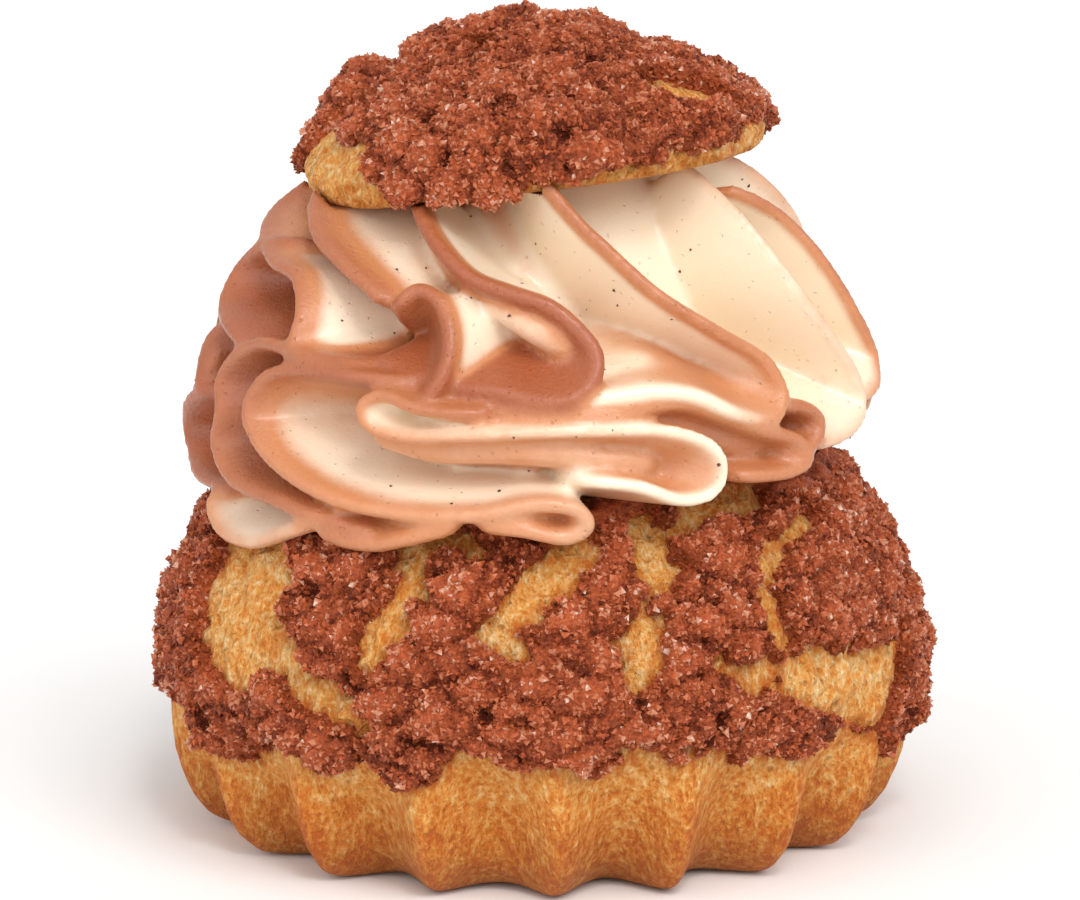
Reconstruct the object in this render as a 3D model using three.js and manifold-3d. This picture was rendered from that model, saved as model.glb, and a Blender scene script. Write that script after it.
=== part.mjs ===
// Cream puff: a fluted choux base under a cracked sugar crust, a piped swirl of ruffled cream
// and a small crusted lid that lies tilted on the swirl.
// Millimetres, +Z up. The origin is the middle of the foot, and the shown side faces -Y.
// A place is given by its turn in degrees (0 at the front, rising to the right), height and radius.

import * as THREE from "three";
import { mergeVertices } from "three/addons/utils/BufferGeometryUtils.js";
import Module from "manifold-3d";

// Choux base, under its crust
const FOOT_RADIUS = 31;
const BELLY_RADIUS = 37.4;
const BELLY_HEIGHT = 15;
const CUT_RADIUS = 26;
const CUT_HEIGHT = 37.5;
const FLUTES = 18;
const FLUTE_DEPTH = 3.6;
const FLUTE_TURN = 2;
const FLUTE_FULL_TO = 5;
const FLUTE_GONE_AT = 19;
const BASE_SEGMENTS = FLUTES * 5;
const BASE_ROWS = 20;
// Radius and height of the base's side, from the foot up to the cut
const BASE_OUTLINE = [
  [FOOT_RADIUS, 0], [FOOT_RADIUS + 4, 3], [BELLY_RADIUS - 0.4, BELLY_HEIGHT - 6],
  [BELLY_RADIUS, BELLY_HEIGHT + 2], [BELLY_RADIUS - 2, CUT_HEIGHT - 12.5],
  [CUT_RADIUS + 5.5, CUT_HEIGHT - 5.5], [CUT_RADIUS, CUT_HEIGHT],
];

// Sugar crust on the base and the lid
const CRUST_THICKNESS = 2;
const CRUST_RAMP = 1.6;
const CRUST_TOP_FADE = 4;
const CRAG_HEIGHT = 0.7;
const CRUST_EDGE_HEIGHT = 12.6;
const CRUST_EDGE_TILT = 1.8;
// Waves of the crust's lower edge: height, how many go round, and the turn that shifts them
const CRUST_EDGE_WAVES = [[1.5, 9, 57], [0.9, 14, 0]];

// Cracks of the base that show at the front: turn and height of both ends, then width
const FRONT_CRACKS = [
  [-45, 33, -50, 27, 5], [-50, 27, -52, 20, 6], [-36, 20, -25, 16, 3],
  [-18, 33, -23, 25, 3], [5, 33, -7, 27, 3.5], [19, 35, 16, 30, 4.5],
  [41, 36, 27, 35, 3], [16, 27, 14, 22, 3], [39, 33, 50, 31, 2.5],
  [32, 23, 44, 20, 3.5], [44, 20, 66, 18, 4.5],
];
// Cracks of the far side, spread from one turn to the other, high and low by turns
const BACK_CRACKS = {
  count: 15, from: 82, to: 290, highTop: 34, lowTop: 26, topChance: 3.5,
  slant: 24, drop: 4, dropChance: 4, width: 2.5, widthChance: 2.5,
};

// Cream swirl
const CREAM_RADIUS = 35.2;
const CREAM_WAIST = 38;
const CREAM_RISE = 34;
const CREAM_POWER = 2.2;
const CREAM_UNDERCUT = 0.09;
const CORE_SHARE = 0.78;
const CORE_HEIGHTS = [33, 38, 46, 54, 61, 66];
const CORE_SEGMENTS = 20;
const CORE_ROWS = 5;
const FOLD_THICKNESS = 2.2;
const FOLD_REACH = 0.7;
const FOLD_STEPS = 1.5;
const FOLD_TUCK = 0.4;
const FOLD_TUCK_SHARE = 0.08;
// Section of a fold from its edge inwards: share of the depth, then of half the thickness
const FOLD_SECTION = [[0, 0.7], [1, 1], [1, -1], [0, -0.7]];
const FOLD_MIDDLE = [0.4, 0];

// Lid
const LID_RADIUS = 23.2;
const LID_HEIGHT = 15;
const LID_MIDDLE = 1;
const LID_CROWN = 6;
const LID_CRUST_THICKNESS = 1.6;
const LID_CRAG_HEIGHT = 1.1;
const LID_PLACE = [0.2, 0, 65.2];
const LID_TILT = 4.5;
const LID_SEGMENTS = 50;
const LID_ROWS = 11;
// Radius and height of the lid's side, from its cut face up to the crown
const LID_OUTLINE = [
  [LID_RADIUS - 2, 0], [LID_RADIUS - 0.3, 1.2], [LID_RADIUS, 3], [LID_RADIUS - 2.6, 7],
  [LID_RADIUS * 0.62, LID_HEIGHT - 3], [LID_RADIUS * 0.3, LID_HEIGHT - 0.7], [0, LID_HEIGHT],
];
// Places where the lid's crust leaves the choux bare, as for the cracks of the base
const LID_BARE = [
  [-66, 1.5, -34, 1, 6], [14, 1.2, 56, 0.6, 4], [40, 7, 48, 6, 2],
  [110, 1, 140, 1.5, 4], [190, 1, 235, 1.5, 5],
];

const CHOUX_COLOUR = 0xc07a45;
const CREAM_COLOUR = 0xe8c49c;
const CRUST_COLOUR = 0xa95a3d;
const CHOUX_ROUGHNESS = 0.8;
const CREAM_ROUGHNESS = 0.45;
const CRUST_ROUGHNESS = 0.85;

// Gap between touching pieces, and the clear room that the cream leaves round the crusts
const GAP = 0.3;
const ROOM_SPARE = 0.9;
const ROOM_SEGMENTS = 24;
const BASE_ROOM_ROWS = 6;
const LID_ROOM_ROWS = 4;
// Corners closer than this are one corner
const SAME_PLACE = 1e-3;

const CRUST_SEED = 11;
const LID_SEED = 23;
const BACK_SEED = 5;
const FAR_SEED = 17;

// Folds of the cream. The edge is a list of turn, height and how far it stands proud of the swirl's
// outline. The fold runs in from its edge to where it gathers, which moves from one place to the
// other along the edge, each as turn, height and radius.
const FOLDS = {
  leftBack: {
    edge: [[-58, 60, -2], [-74, 59, 0], [-81, 56, 0], [-78, 53, 0], [-66, 51, 0], [-54, 49, -1]],
    gather: [[-46, 54, 14], [-46, 54, 14]],
  },
  leftFar: {
    edge: [[-64, 54, -2], [-77, 50, 0], [-79, 46, 0], [-74, 42, 0]],
    gather: [[-58, 47, 16], [-58, 47, 16]],
  },
  left: {
    edge: [[-98, 67, 0], [-94, 62, 0], [-84, 60, 0], [-64, 58, 0], [-52, 57, 0], [-47, 54, 0], [-46, 51, 0],
      [-34, 50, -1]],
    gather: [[-50, 60, 9], [-20, 52, 15]],
  },
  second: {
    edge: [[-86, 68, 0], [-70, 64, 0], [-55, 61, 0], [-43, 59, 0], [-33, 57, 0], [-25, 54, -1]],
    gather: [[-30, 62, 8], [-14, 57, 12]],
  },
  small: {
    edge: [[-30, 54, -1], [-26, 56, 0], [-22, 57, 0], [-18, 55, 0], [-16, 52, 0], [-18, 48, 0],
      [-26, 46, -2]],
    gather: [[-32, 51, 16], [-32, 51, 16]],
  },
  middle: {
    edge: [[-44, 68, 0], [-33, 65, 0], [-24, 62, 0], [-14, 59.5, 0], [-3, 58, 0], [5, 56, 0], [10, 53, 0],
      [9, 50, 0], [4, 47.5, 0], [-10, 48, -1]],
    gather: [[-14, 54, 10], [-14, 54, 10]],
  },
  big: {
    edge: [[-8, 69, 0], [5, 64.5, 0], [14, 61, 0], [22, 57, 0], [33, 53, 0], [41, 50, 0], [43, 47, 0],
      [40, 45, 0], [33, 45, 0], [22, 48, 0], [8, 47.5, -2]],
    gather: [[14, 56, 8], [18, 49, 16]],
  },
  petal: {
    edge: [[54, 69, 0], [51, 63, 0], [53, 58, 0], [58, 52, 0], [64, 47, 0], [65, 44, 0], [59, 42, 0],
      [44, 41, -1]],
    gather: [[56, 54, 5], [56, 54, 5]],
  },
  backPetal: {
    edge: [[50, 66, -1], [60, 64.5, 0], [68, 62, 0], [71, 58, 0], [74, 52, 0], [77, 47.5, 0], [72, 45, 0],
      [60, 44, -2]],
    gather: [[80, 55, 6], [80, 55, 6]],
  },
  lowFarLeft: {
    edge: [[-70, 46, -1], [-82, 43, 0.5], [-87, 40, 0.5], [-84, 37.5, 0], [-76, 36, 0], [-58, 36, -1]],
    gather: [[-62, 41, 16], [-62, 41, 16]],
  },
  lowLeft: {
    edge: [[-26, 50, -2], [-40, 50.5, 0], [-47, 51, 0], [-56, 51, 0], [-63, 49, 0], [-66, 46.5, 0],
      [-64, 44, 0], [-65, 40.5, 0], [-59, 37.5, 0], [-46, 36.5, 0], [-36, 35.5, 0], [-22, 34, 0]],
    gather: [[-20, 48, 15], [-44, 41, 18]],
  },
  leftDrop: {
    edge: [[-67, 38, 0], [-68, 35, 0], [-65, 32, 0], [-55, 31.5, 0], [-42, 34, 0], [-30, 37, -1]],
    gather: [[-50, 39, 20], [-50, 39, 20]],
  },
  frontDrop: {
    edge: [[-42, 36, 0], [-35, 34, 0], [-28, 33.5, 0], [-21, 34.5, 0], [-8, 37, 0]],
    gather: [[-28, 40, 20], [-28, 40, 20]],
  },
  front: {
    edge: [[-16, 49, -2], [-30, 49.5, 0], [-43, 49.5, 0], [-52, 48, 0], [-55, 44.5, 0], [-49, 41, 0],
      [-36, 38, 0], [-22, 37, 0], [-10, 37.3, 0], [0, 38.5, 0], [6, 38, 0], [8, 36.5, 0], [5, 35.2, 0],
      [-3, 36, 0], [-14, 36.5, 0]],
    gather: [[-20, 45, 15], [-4, 38, 22]],
  },
  hook: {
    edge: [[-2, 47, -1.5], [-15, 48, 0], [-22, 48.5, 0], [-26, 47.2, 0], [-24.5, 45.2, 0], [-17, 44.3, 0],
      [-3, 45, 0], [11, 45.7, 0], [22, 45, 0], [28.5, 43, 0], [30, 40.8, 0], [27.5, 38.7, 0], [23, 38.3, 0],
      [15, 40, 0], [2, 41, -1]],
    gather: [[-4, 46.5, 16], [6, 41, 18]],
  },
  ribbon: {
    edge: [[0, 46, -1], [12, 47, 0], [22, 47.5, 0], [32, 45.8, 0], [41, 43.6, 0], [46, 42, 0],
      [47.5, 40.3, 0], [44, 39.2, 0], [28, 40, -1]],
    gather: [[24, 42, 15], [24, 42, 15]],
  },
  tuck: {
    edge: [[36, 46, -1], [47, 45.7, 0], [51, 44, 0], [49, 42, 0], [38, 41, -1]],
    gather: [[40, 44, 18], [40, 44, 18]],
  },
};

// Folds of the far side, each repeated round the swirl: how many, the first one's turn and the step
const FAR_SETS = [
  {
    edge: [[-8, 69, 0], [6, 64, 0], [20, 57, 0], [34, 52, 0], [41, 48, 0], [36, 44.5, 0], [18, 46, -1]],
    gather: [[14, 56, 8], [16, 49, 14]],
    count: 6, first: 94, step: 30, firstOut: 0,
  },
  {
    edge: [[-18, 48, -1], [-28, 47, 0], [-30, 43, 0], [-20, 38, 0], [0, 36.5, 0], [18, 37.5, 0], [24, 36, 0],
      [12, 34.5, 0]],
    gather: [[-8, 44, 15], [6, 38, 20]],
    count: 5, first: 92, step: 42, firstOut: -3,
  },
  {
    edge: [[-4, 47.5, -1], [-16, 47, 0], [-17, 44.5, 0], [0, 44, 0], [18, 44, 0], [24, 41, 0], [14, 39.5, 0],
      [-4, 41, -1]],
    gather: [[0, 46, 16], [2, 41.5, 18]],
    count: 5, first: 78, step: 43, firstOut: -3,
  },
];
const FAR_TURN_CHANCE = 0.4;
const FAR_RISE_CHANCE = 2;
const FAR_OUT_CHANCE = -1.5;

const wasm = await Module();
wasm.setup();

// Numbers from 0 to 1 in a fixed order
function seededDraw(seed) {
  let state = seed;
  return () => {
    state = (state * 1664525 + 1013904223) % 4294967296;
    return state / 4294967296;
  };
}

function placeAt(turn, height, radius) {
  const angle = THREE.MathUtils.degToRad(turn);
  return new THREE.Vector3(radius * Math.sin(angle), -radius * Math.cos(angle), height);
}

function turnOf(point) {
  return THREE.MathUtils.radToDeg(Math.atan2(point.x, -point.y));
}

// A geometry with shared corners and no empty triangles
function closedBody(geometry) {
  geometry.deleteAttribute("normal");
  geometry.deleteAttribute("uv");
  const body = mergeVertices(geometry, SAME_PLACE);
  const corners = [];
  for (let i = 0; i < body.index.count; i += 3) {
    const [a, b, c] = [0, 1, 2].map((k) => body.index.getX(i + k));
    if (a !== b && b !== c && c !== a) {
      corners.push(a, b, c);
    }
  }
  body.setIndex(corners);
  return body;
}

function toSolid(geometry) {
  return new wasm.Manifold(new wasm.Mesh({
    numProp: 3,
    vertProperties: Float32Array.from(geometry.attributes.position.array),
    triVerts: Uint32Array.from(geometry.index.array),
  }));
}

// The solid without the scraps and closed hollows that joining can leave
function largestBody(solid) {
  return solid.decompose().reduce((most, body) => (body.volume() > most.volume() ? body : most));
}

function toGeometry(solid) {
  const mesh = solid.getMesh();
  const geometry = new THREE.BufferGeometry();
  geometry.setAttribute("position", new THREE.BufferAttribute(mesh.vertProperties, 3));
  geometry.setIndex(new THREE.BufferAttribute(mesh.triVerts, 1));
  return geometry;
}

// A round shell about Z, each point of it moved by move(point, chance)
function movedLathe(profile, segments, seed, move) {
  const geometry = closedBody(new THREE.LatheGeometry(profile, segments).rotateX(Math.PI / 2));
  const draw = seededDraw(seed);
  const spots = geometry.attributes.position;
  const point = new THREE.Vector3();
  for (let i = 0; i < spots.count; i += 1) {
    point.fromBufferAttribute(spots, i);
    move(point, draw());
    spots.setXYZ(i, point.x, point.y, point.z);
  }
  return geometry;
}

// A profile from the axis along a smooth curve and back to the axis
function roundProfile(points, rows) {
  const curve = new THREE.SplineCurve(points.map(([radius, height]) => new THREE.Vector2(radius, height)));
  const run = curve.getPoints(rows);
  const first = new THREE.Vector2(0, run[0].y);
  const last = new THREE.Vector2(0, run[rows].y);
  return run[rows].x > 0 ? [first, ...run, last] : [first, ...run];
}

// Cracks as lines with a half width, laid on the surface radiusAt
function crackLines(cracks, radiusAt) {
  return cracks.map(([turnA, heightA, turnB, heightB, width]) => ({
    line: new THREE.Line3(
      placeAt(turnA, heightA, radiusAt(heightA)),
      placeAt(turnB, heightB, radiusAt(heightB)),
    ),
    half: width / 2,
  }));
}

// How much of the crust's thickness stands at a point: 1 on a patch, 0 in a crack
function crackCover(point, cracks) {
  const nearest = new THREE.Vector3();
  let cover = 1;
  for (const { line, half } of cracks) {
    const away = line.closestPointToPoint(point, true, nearest).distanceTo(point);
    cover = Math.min(cover, THREE.MathUtils.smoothstep(away, half - CRUST_RAMP / 2, half + CRUST_RAMP));
  }
  return cover;
}

function baseRadius(height) {
  const above = BASE_OUTLINE.findIndex(([, top]) => top >= height);
  const [radiusA, heightA] = BASE_OUTLINE[Math.max(above - 1, 0)];
  const [radiusB, heightB] = BASE_OUTLINE[Math.max(above, 1)];
  return THREE.MathUtils.mapLinear(height, heightA, heightB, radiusA, radiusB);
}

// The cracks of the far side, as FRONT_CRACKS gives them
function backCracks() {
  const draw = seededDraw(BACK_SEED);
  const rule = BACK_CRACKS;
  const cracks = [];
  for (let i = 0; i < rule.count; i += 1) {
    const turn = THREE.MathUtils.lerp(rule.from, rule.to, (i + draw()) / rule.count);
    const top = (i % 2 === 0 ? rule.highTop : rule.lowTop) - rule.topChance * draw();
    const endTurn = turn + rule.slant * (draw() - 0.5);
    const end = top - rule.drop - rule.dropChance * draw();
    cracks.push([turn, top, endTurn, end, rule.width + rule.widthChance * draw()]);
  }
  return cracks;
}

// Height of the crust's wavy lower edge
function crustEdge(turn) {
  let height = CRUST_EDGE_HEIGHT + CRUST_EDGE_TILT * Math.cos(THREE.MathUtils.degToRad(turn));
  for (const [wave, count, shift] of CRUST_EDGE_WAVES) {
    height += wave * Math.sin(THREE.MathUtils.degToRad(count * turn + shift));
  }
  return height;
}

// The choux base, fluted below and crusted above
function makeBase() {
  const cracks = crackLines([...FRONT_CRACKS, ...backCracks()], baseRadius);
  const middle = new THREE.Vector3(0, 0, BELLY_HEIGHT);
  const out = new THREE.Vector3();
  const profile = roundProfile(BASE_OUTLINE, BASE_ROWS);
  return movedLathe(profile, BASE_SEGMENTS, CRUST_SEED, (point, chance) => {
    const radius = Math.hypot(point.x, point.y);
    const height = point.z;
    if (radius < 1) {
      return;
    }
    const turn = turnOf(point);
    const edge = crustEdge(turn);
    const rim = THREE.MathUtils.smoothstep(height, edge - CRUST_RAMP, edge + CRUST_RAMP);
    const top = THREE.MathUtils.smoothstep(CUT_HEIGHT - height, 0.5, CRUST_TOP_FADE);
    const crust = rim * top * crackCover(point, cracks);
    const lift = crust * (CRUST_THICKNESS + CRAG_HEIGHT * (chance - 0.5));
    const share = THREE.MathUtils.euclideanModulo((turn - FLUTE_TURN) * FLUTES / 360, 1);
    const fade = 1 - THREE.MathUtils.smoothstep(height, FLUTE_FULL_TO, FLUTE_GONE_AT);
    const narrow = 1 - FLUTE_DEPTH * fade * 4 * share * (1 - share) / radius;
    out.copy(point).sub(middle).normalize();
    point.set(point.x * narrow, point.y * narrow, point.z).addScaledVector(out, lift);
  });
}

// The lid, flat below and crusted nearly all over
function makeLid() {
  const cracks = crackLines(LID_BARE, () => LID_RADIUS);
  const middle = new THREE.Vector3(0, 0, LID_MIDDLE);
  const out = new THREE.Vector3();
  const profile = roundProfile(LID_OUTLINE, LID_ROWS);
  return movedLathe(profile, LID_SEGMENTS, LID_SEED, (point, chance) => {
    const height = point.z;
    const crust = height > 0.01 ? crackCover(point, cracks) : 0;
    const crag = LID_CRAG_HEIGHT * Math.min(1, Math.hypot(point.x, point.y) / LID_CROWN);
    const lift = crust * (LID_CRUST_THICKNESS + crag * (chance - 0.5));
    out.copy(point).sub(middle).normalize();
    point.addScaledVector(out, lift);
  });
}

// Outer reach of the folds at a height
function creamRadius(height) {
  const rise = (height - CREAM_WAIST) / CREAM_RISE;
  if (rise < 0) {
    return CREAM_RADIUS - CREAM_UNDERCUT * (CREAM_WAIST - height) ** 2;
  }
  return CREAM_RADIUS * Math.sqrt(1 - Math.min(rise, 1) ** CREAM_POWER);
}

// The folds of the far side, a little uneven in turn, height and reach
function farFolds() {
  const draw = seededDraw(FAR_SEED);
  const folds = [];
  for (const { edge, gather, count, first, step, firstOut } of FAR_SETS) {
    for (let i = 0; i < count; i += 1) {
      const turnBy = first + step * (i + FAR_TURN_CHANCE * (draw() - 0.5));
      const rise = FAR_RISE_CHANCE * (draw() - 0.5);
      const outBy = FAR_OUT_CHANCE * draw() + (i === 0 ? firstOut : 0);
      folds.push({
        edge: edge.map(([turn, height, out]) => [turn + turnBy, height + rise, out + outBy]),
        gather: gather.map(([turn, height, radius]) => [turn + turnBy, height + rise, radius]),
      });
    }
  }
  return folds;
}

// One fold: a thick sheet from its blunt edge in to where it gathers
function makeFold({ edge, gather }) {
  const places = edge.map(([turn, height, out]) => placeAt(turn, height, creamRadius(height) + out));
  const run = new THREE.CatmullRomCurve3(places, false, "centripetal");
  const [from, to] = gather.map((place) => placeAt(...place));
  const steps = Math.ceil(FOLD_STEPS * (places.length - 1));
  const geometry = closedBody(new THREE.CylinderGeometry(1, 1, 1, FOLD_SECTION.length, steps));
  const spots = geometry.attributes.position;
  const inward = new THREE.Vector3();
  const side = new THREE.Vector3();
  for (let i = 0; i < spots.count; i += 1) {
    const along = THREE.MathUtils.clamp(0.5 - spots.getY(i), 0, 1);
    const angle = Math.atan2(spots.getX(i), spots.getZ(i));
    const corner = Math.round(angle / (2 * Math.PI) * FOLD_SECTION.length);
    const middle = Math.hypot(spots.getX(i), spots.getZ(i)) < 0.5;
    const [depth, across] = middle ? FOLD_MIDDLE : FOLD_SECTION.at(corner % FOLD_SECTION.length);
    const point = run.getPoint(along);
    inward.lerpVectors(from, to, THREE.MathUtils.smoothstep(along, 0, 1)).sub(point);
    side.crossVectors(run.getTangent(along), inward).normalize();
    const end = THREE.MathUtils.smoothstep(Math.min(along, 1 - along), 0, FOLD_TUCK_SHARE);
    point.addScaledVector(inward, THREE.MathUtils.lerp(FOLD_TUCK * (1 - end), FOLD_REACH, depth));
    point.addScaledVector(side, across * FOLD_THICKNESS / 2);
    spots.setXYZ(i, point.x, point.y, point.z);
  }
  return geometry;
}

// The middle of the swirl, which the folds grow out of
function makeCore() {
  const outline = CORE_HEIGHTS.map((height) => [CORE_SHARE * creamRadius(height), height]);
  const profile = roundProfile(outline, CORE_ROWS);
  return closedBody(new THREE.LatheGeometry(profile, CORE_SEGMENTS).rotateX(Math.PI / 2));
}

// The room that a crusted shell takes up in the cream, with a gap all round. The shell's flat face
// at flatHeight keeps its place, less the gap.
function makeRoom(outline, middleHeight, flatHeight, rows) {
  const stand = CRUST_THICKNESS + CRAG_HEIGHT + ROOM_SPARE;
  const spread = outline.map(([radius, height]) => {
    const out = new THREE.Vector2(radius, height - middleHeight).setLength(stand);
    return height === flatHeight ? [radius, height] : [radius + out.x, height + out.y];
  });
  const profile = roundProfile(spread, rows);
  return closedBody(new THREE.LatheGeometry(profile, ROOM_SEGMENTS).rotateX(Math.PI / 2));
}

function makeCream(lidPlace) {
  let swirl = toSolid(makeCore());
  for (const fold of [...Object.values(FOLDS), ...farFolds()]) {
    swirl = swirl.add(toSolid(makeFold(fold)));
  }
  const baseRoom = makeRoom(BASE_OUTLINE, BELLY_HEIGHT, CUT_HEIGHT, BASE_ROOM_ROWS).translate(0, 0, GAP);
  const lidRoom = makeRoom(LID_OUTLINE, LID_MIDDLE, 0, LID_ROOM_ROWS).translate(0, 0, -GAP);
  swirl = swirl.subtract(toSolid(baseRoom));
  swirl = swirl.subtract(toSolid(lidRoom.applyMatrix4(lidPlace)));
  const joined = closedBody(toGeometry(swirl));
  return toGeometry(largestBody(toSolid(joined)));
}

function finish(colour, roughness) {
  return new THREE.MeshStandardMaterial({ color: colour, roughness, metalness: 0 });
}

function named(name, geometry, material) {
  const mesh = new THREE.Mesh(geometry, material);
  mesh.name = name;
  return mesh;
}

const lid = new THREE.Group();
lid.position.set(...LID_PLACE);
lid.rotation.y = THREE.MathUtils.degToRad(-LID_TILT);
lid.add(named("choux_lid", makeLid(), finish(CRUST_COLOUR, CRUST_ROUGHNESS)));
lid.updateMatrix();

const puff = new THREE.Group();
puff.add(named("choux_base", makeBase(), finish(CHOUX_COLOUR, CHOUX_ROUGHNESS)));
puff.add(named("cream_swirl", makeCream(lid.matrix), finish(CREAM_COLOUR, CREAM_ROUGHNESS)));
puff.add(lid);

export default puff;
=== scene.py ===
import math

import bpy
import numpy as np
from bpy.props import FloatProperty, FloatVectorProperty, IntProperty, PointerProperty
from bpy.types import Operator, Panel, PropertyGroup
from mathutils import Matrix, kdtree, noise
from mathutils.bvhtree import BVHTree


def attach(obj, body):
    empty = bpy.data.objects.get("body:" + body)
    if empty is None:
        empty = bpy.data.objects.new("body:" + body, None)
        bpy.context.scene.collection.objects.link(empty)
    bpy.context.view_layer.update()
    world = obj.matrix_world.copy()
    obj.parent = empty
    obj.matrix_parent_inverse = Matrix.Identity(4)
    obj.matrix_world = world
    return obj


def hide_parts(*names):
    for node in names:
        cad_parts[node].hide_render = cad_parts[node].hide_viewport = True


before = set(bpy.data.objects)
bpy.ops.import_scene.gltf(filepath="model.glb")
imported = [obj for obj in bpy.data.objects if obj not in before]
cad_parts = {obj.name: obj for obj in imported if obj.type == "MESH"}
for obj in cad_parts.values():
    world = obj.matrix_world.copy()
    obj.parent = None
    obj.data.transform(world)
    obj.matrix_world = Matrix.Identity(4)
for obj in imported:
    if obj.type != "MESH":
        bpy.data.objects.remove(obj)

bl_info = {
    "name": "Cream Puff",
    "version": (1, 0, 0),
    "blender": (4, 5, 0),
    "location": "View3D > Sidebar > Cream Puff",
    "description": "Bakes a fluted choux bun with a cracked sugar crust, a ruffled cream swirl and a lid",
    "category": "Add Mesh",
}

# Tables below are in millimetres and degrees. A turn of 0 is the front, and turns rise to the right.
MM = 0.001

# Cracks of the base's crust at the front: runs of turn, height and width
FRONT_CRACKS = [
    [(-62, 34, 13), (-54, 30, 9.5), (-54, 26, 14.5), (-52, 23, 10)],
    [(-42, 22.5, 4), (-36, 20, 3.6), (-30, 18.4, 3.4), (-27, 17, 3.2), (-28, 14, 3)],
    [(-22, 35, 4.4), (-21, 31, 3.6), (-22, 27.7, 3.6), (-25, 25, 3.6), (-26, 23, 3)],
    [(7, 33, 4), (2, 31, 4.6), (-3, 28.5, 4.6), (-6, 26.8, 4), (-4, 25, 3)],
    [(-21, 34.6, 3.5), (-12, 33.3, 3)],
    [(20, 34.3, 5.4), (20, 32, 5), (20.5, 30.2, 3)],
    [(46, 36, 4), (34, 35.4, 3.8), (25, 34.3, 3.4)],
    [(16.5, 26.6, 3.4), (15, 24.8, 3.8), (15, 22.2, 3)],
    [(58, 33.4, 2.4), (48, 32.4, 2.4), (40, 30.4, 3), (38, 28.5, 2.6), (38, 25.4, 2.4), (39, 22.5, 3.4)],
    [(27, 22.4, 2), (32, 21.2, 2.4)],
    [(34, 21.3, 3), (40, 21.3, 4.4), (46, 19.8, 6.5), (55, 17.8, 8.5), (67, 18.4, 6.5), (72, 22, 3)],
    [(53, 17, 6), (54, 12, 5)],
]
# Lower edge of the base's crust at the front: turn and height
FRONT_EDGE = [
    (-82, 15.5), (-74, 15), (-59, 12.2), (-53, 11.2), (-46, 13.3), (-41, 15.3), (-34, 11.7), (-28, 14.1),
    (-22, 12.2), (-16, 13.1), (-11, 16.8), (-4, 13.8), (1, 14.7), (6, 13.6), (14, 15.9), (19, 14.7),
    (24, 16), (30, 14.2), (39, 13.5), (50, 13.3), (57, 13.5), (62, 11.9), (70, 9.3), (80, 9.6),
]
# Lower edge of the lid's crust: turn and height above the lid's cut face
LID_EDGE = [
    (-180, 1.4), (-160, 0), (-146, 3), (-128, 2.4), (-112, 1.2), (-98, 1.2), (-90, 3.4), (-82, 7), (-76, 8),
    (-71, 6), (-60, 5.4), (-51, 4.8), (-45, 4), (-40, 2.2), (-36, 0.9), (-22, 0.6), (-18, 0.2), (-9, 0),
    (-6, 0.8), (-2, 1.3), (10, 1.2), (24, 1.6), (38, 2), (57, 2.4), (66, 2.8), (73, 3), (82, 2.6), (92, 1.4),
    (104, 0.6), (118, 2.6), (136, 2), (152, 0), (180, 1.4),
]
# Bare places higher on the lid: runs of turn, height and width
LID_BARE = [
    [(-82, 3.4, 4.4), (-75, 6, 4.2), (-67, 8.4, 2.8)],
    [(44, 7.4, 4.4), (53, 6.4, 6), (63, 5.6, 4.6)],
    [(-42, 12.4, 2), (-28, 12, 2.4)],
    [(196, 7, 2.4), (214, 5.4, 3), (226, 5, 2)],
]
# Lumps that stand out of the lid's crust: turn, distance from the middle, rise and width
LID_LUMPS = [
    (-97, 16.5, 2.3, 7), (-96, 8.5, 1.4, 6), (-20, 1.5, 1.1, 5), (75, 5, 0.4, 5), (80, 16, 0.6, 5),
    (100, 19, 0.6, 5),
]

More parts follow.
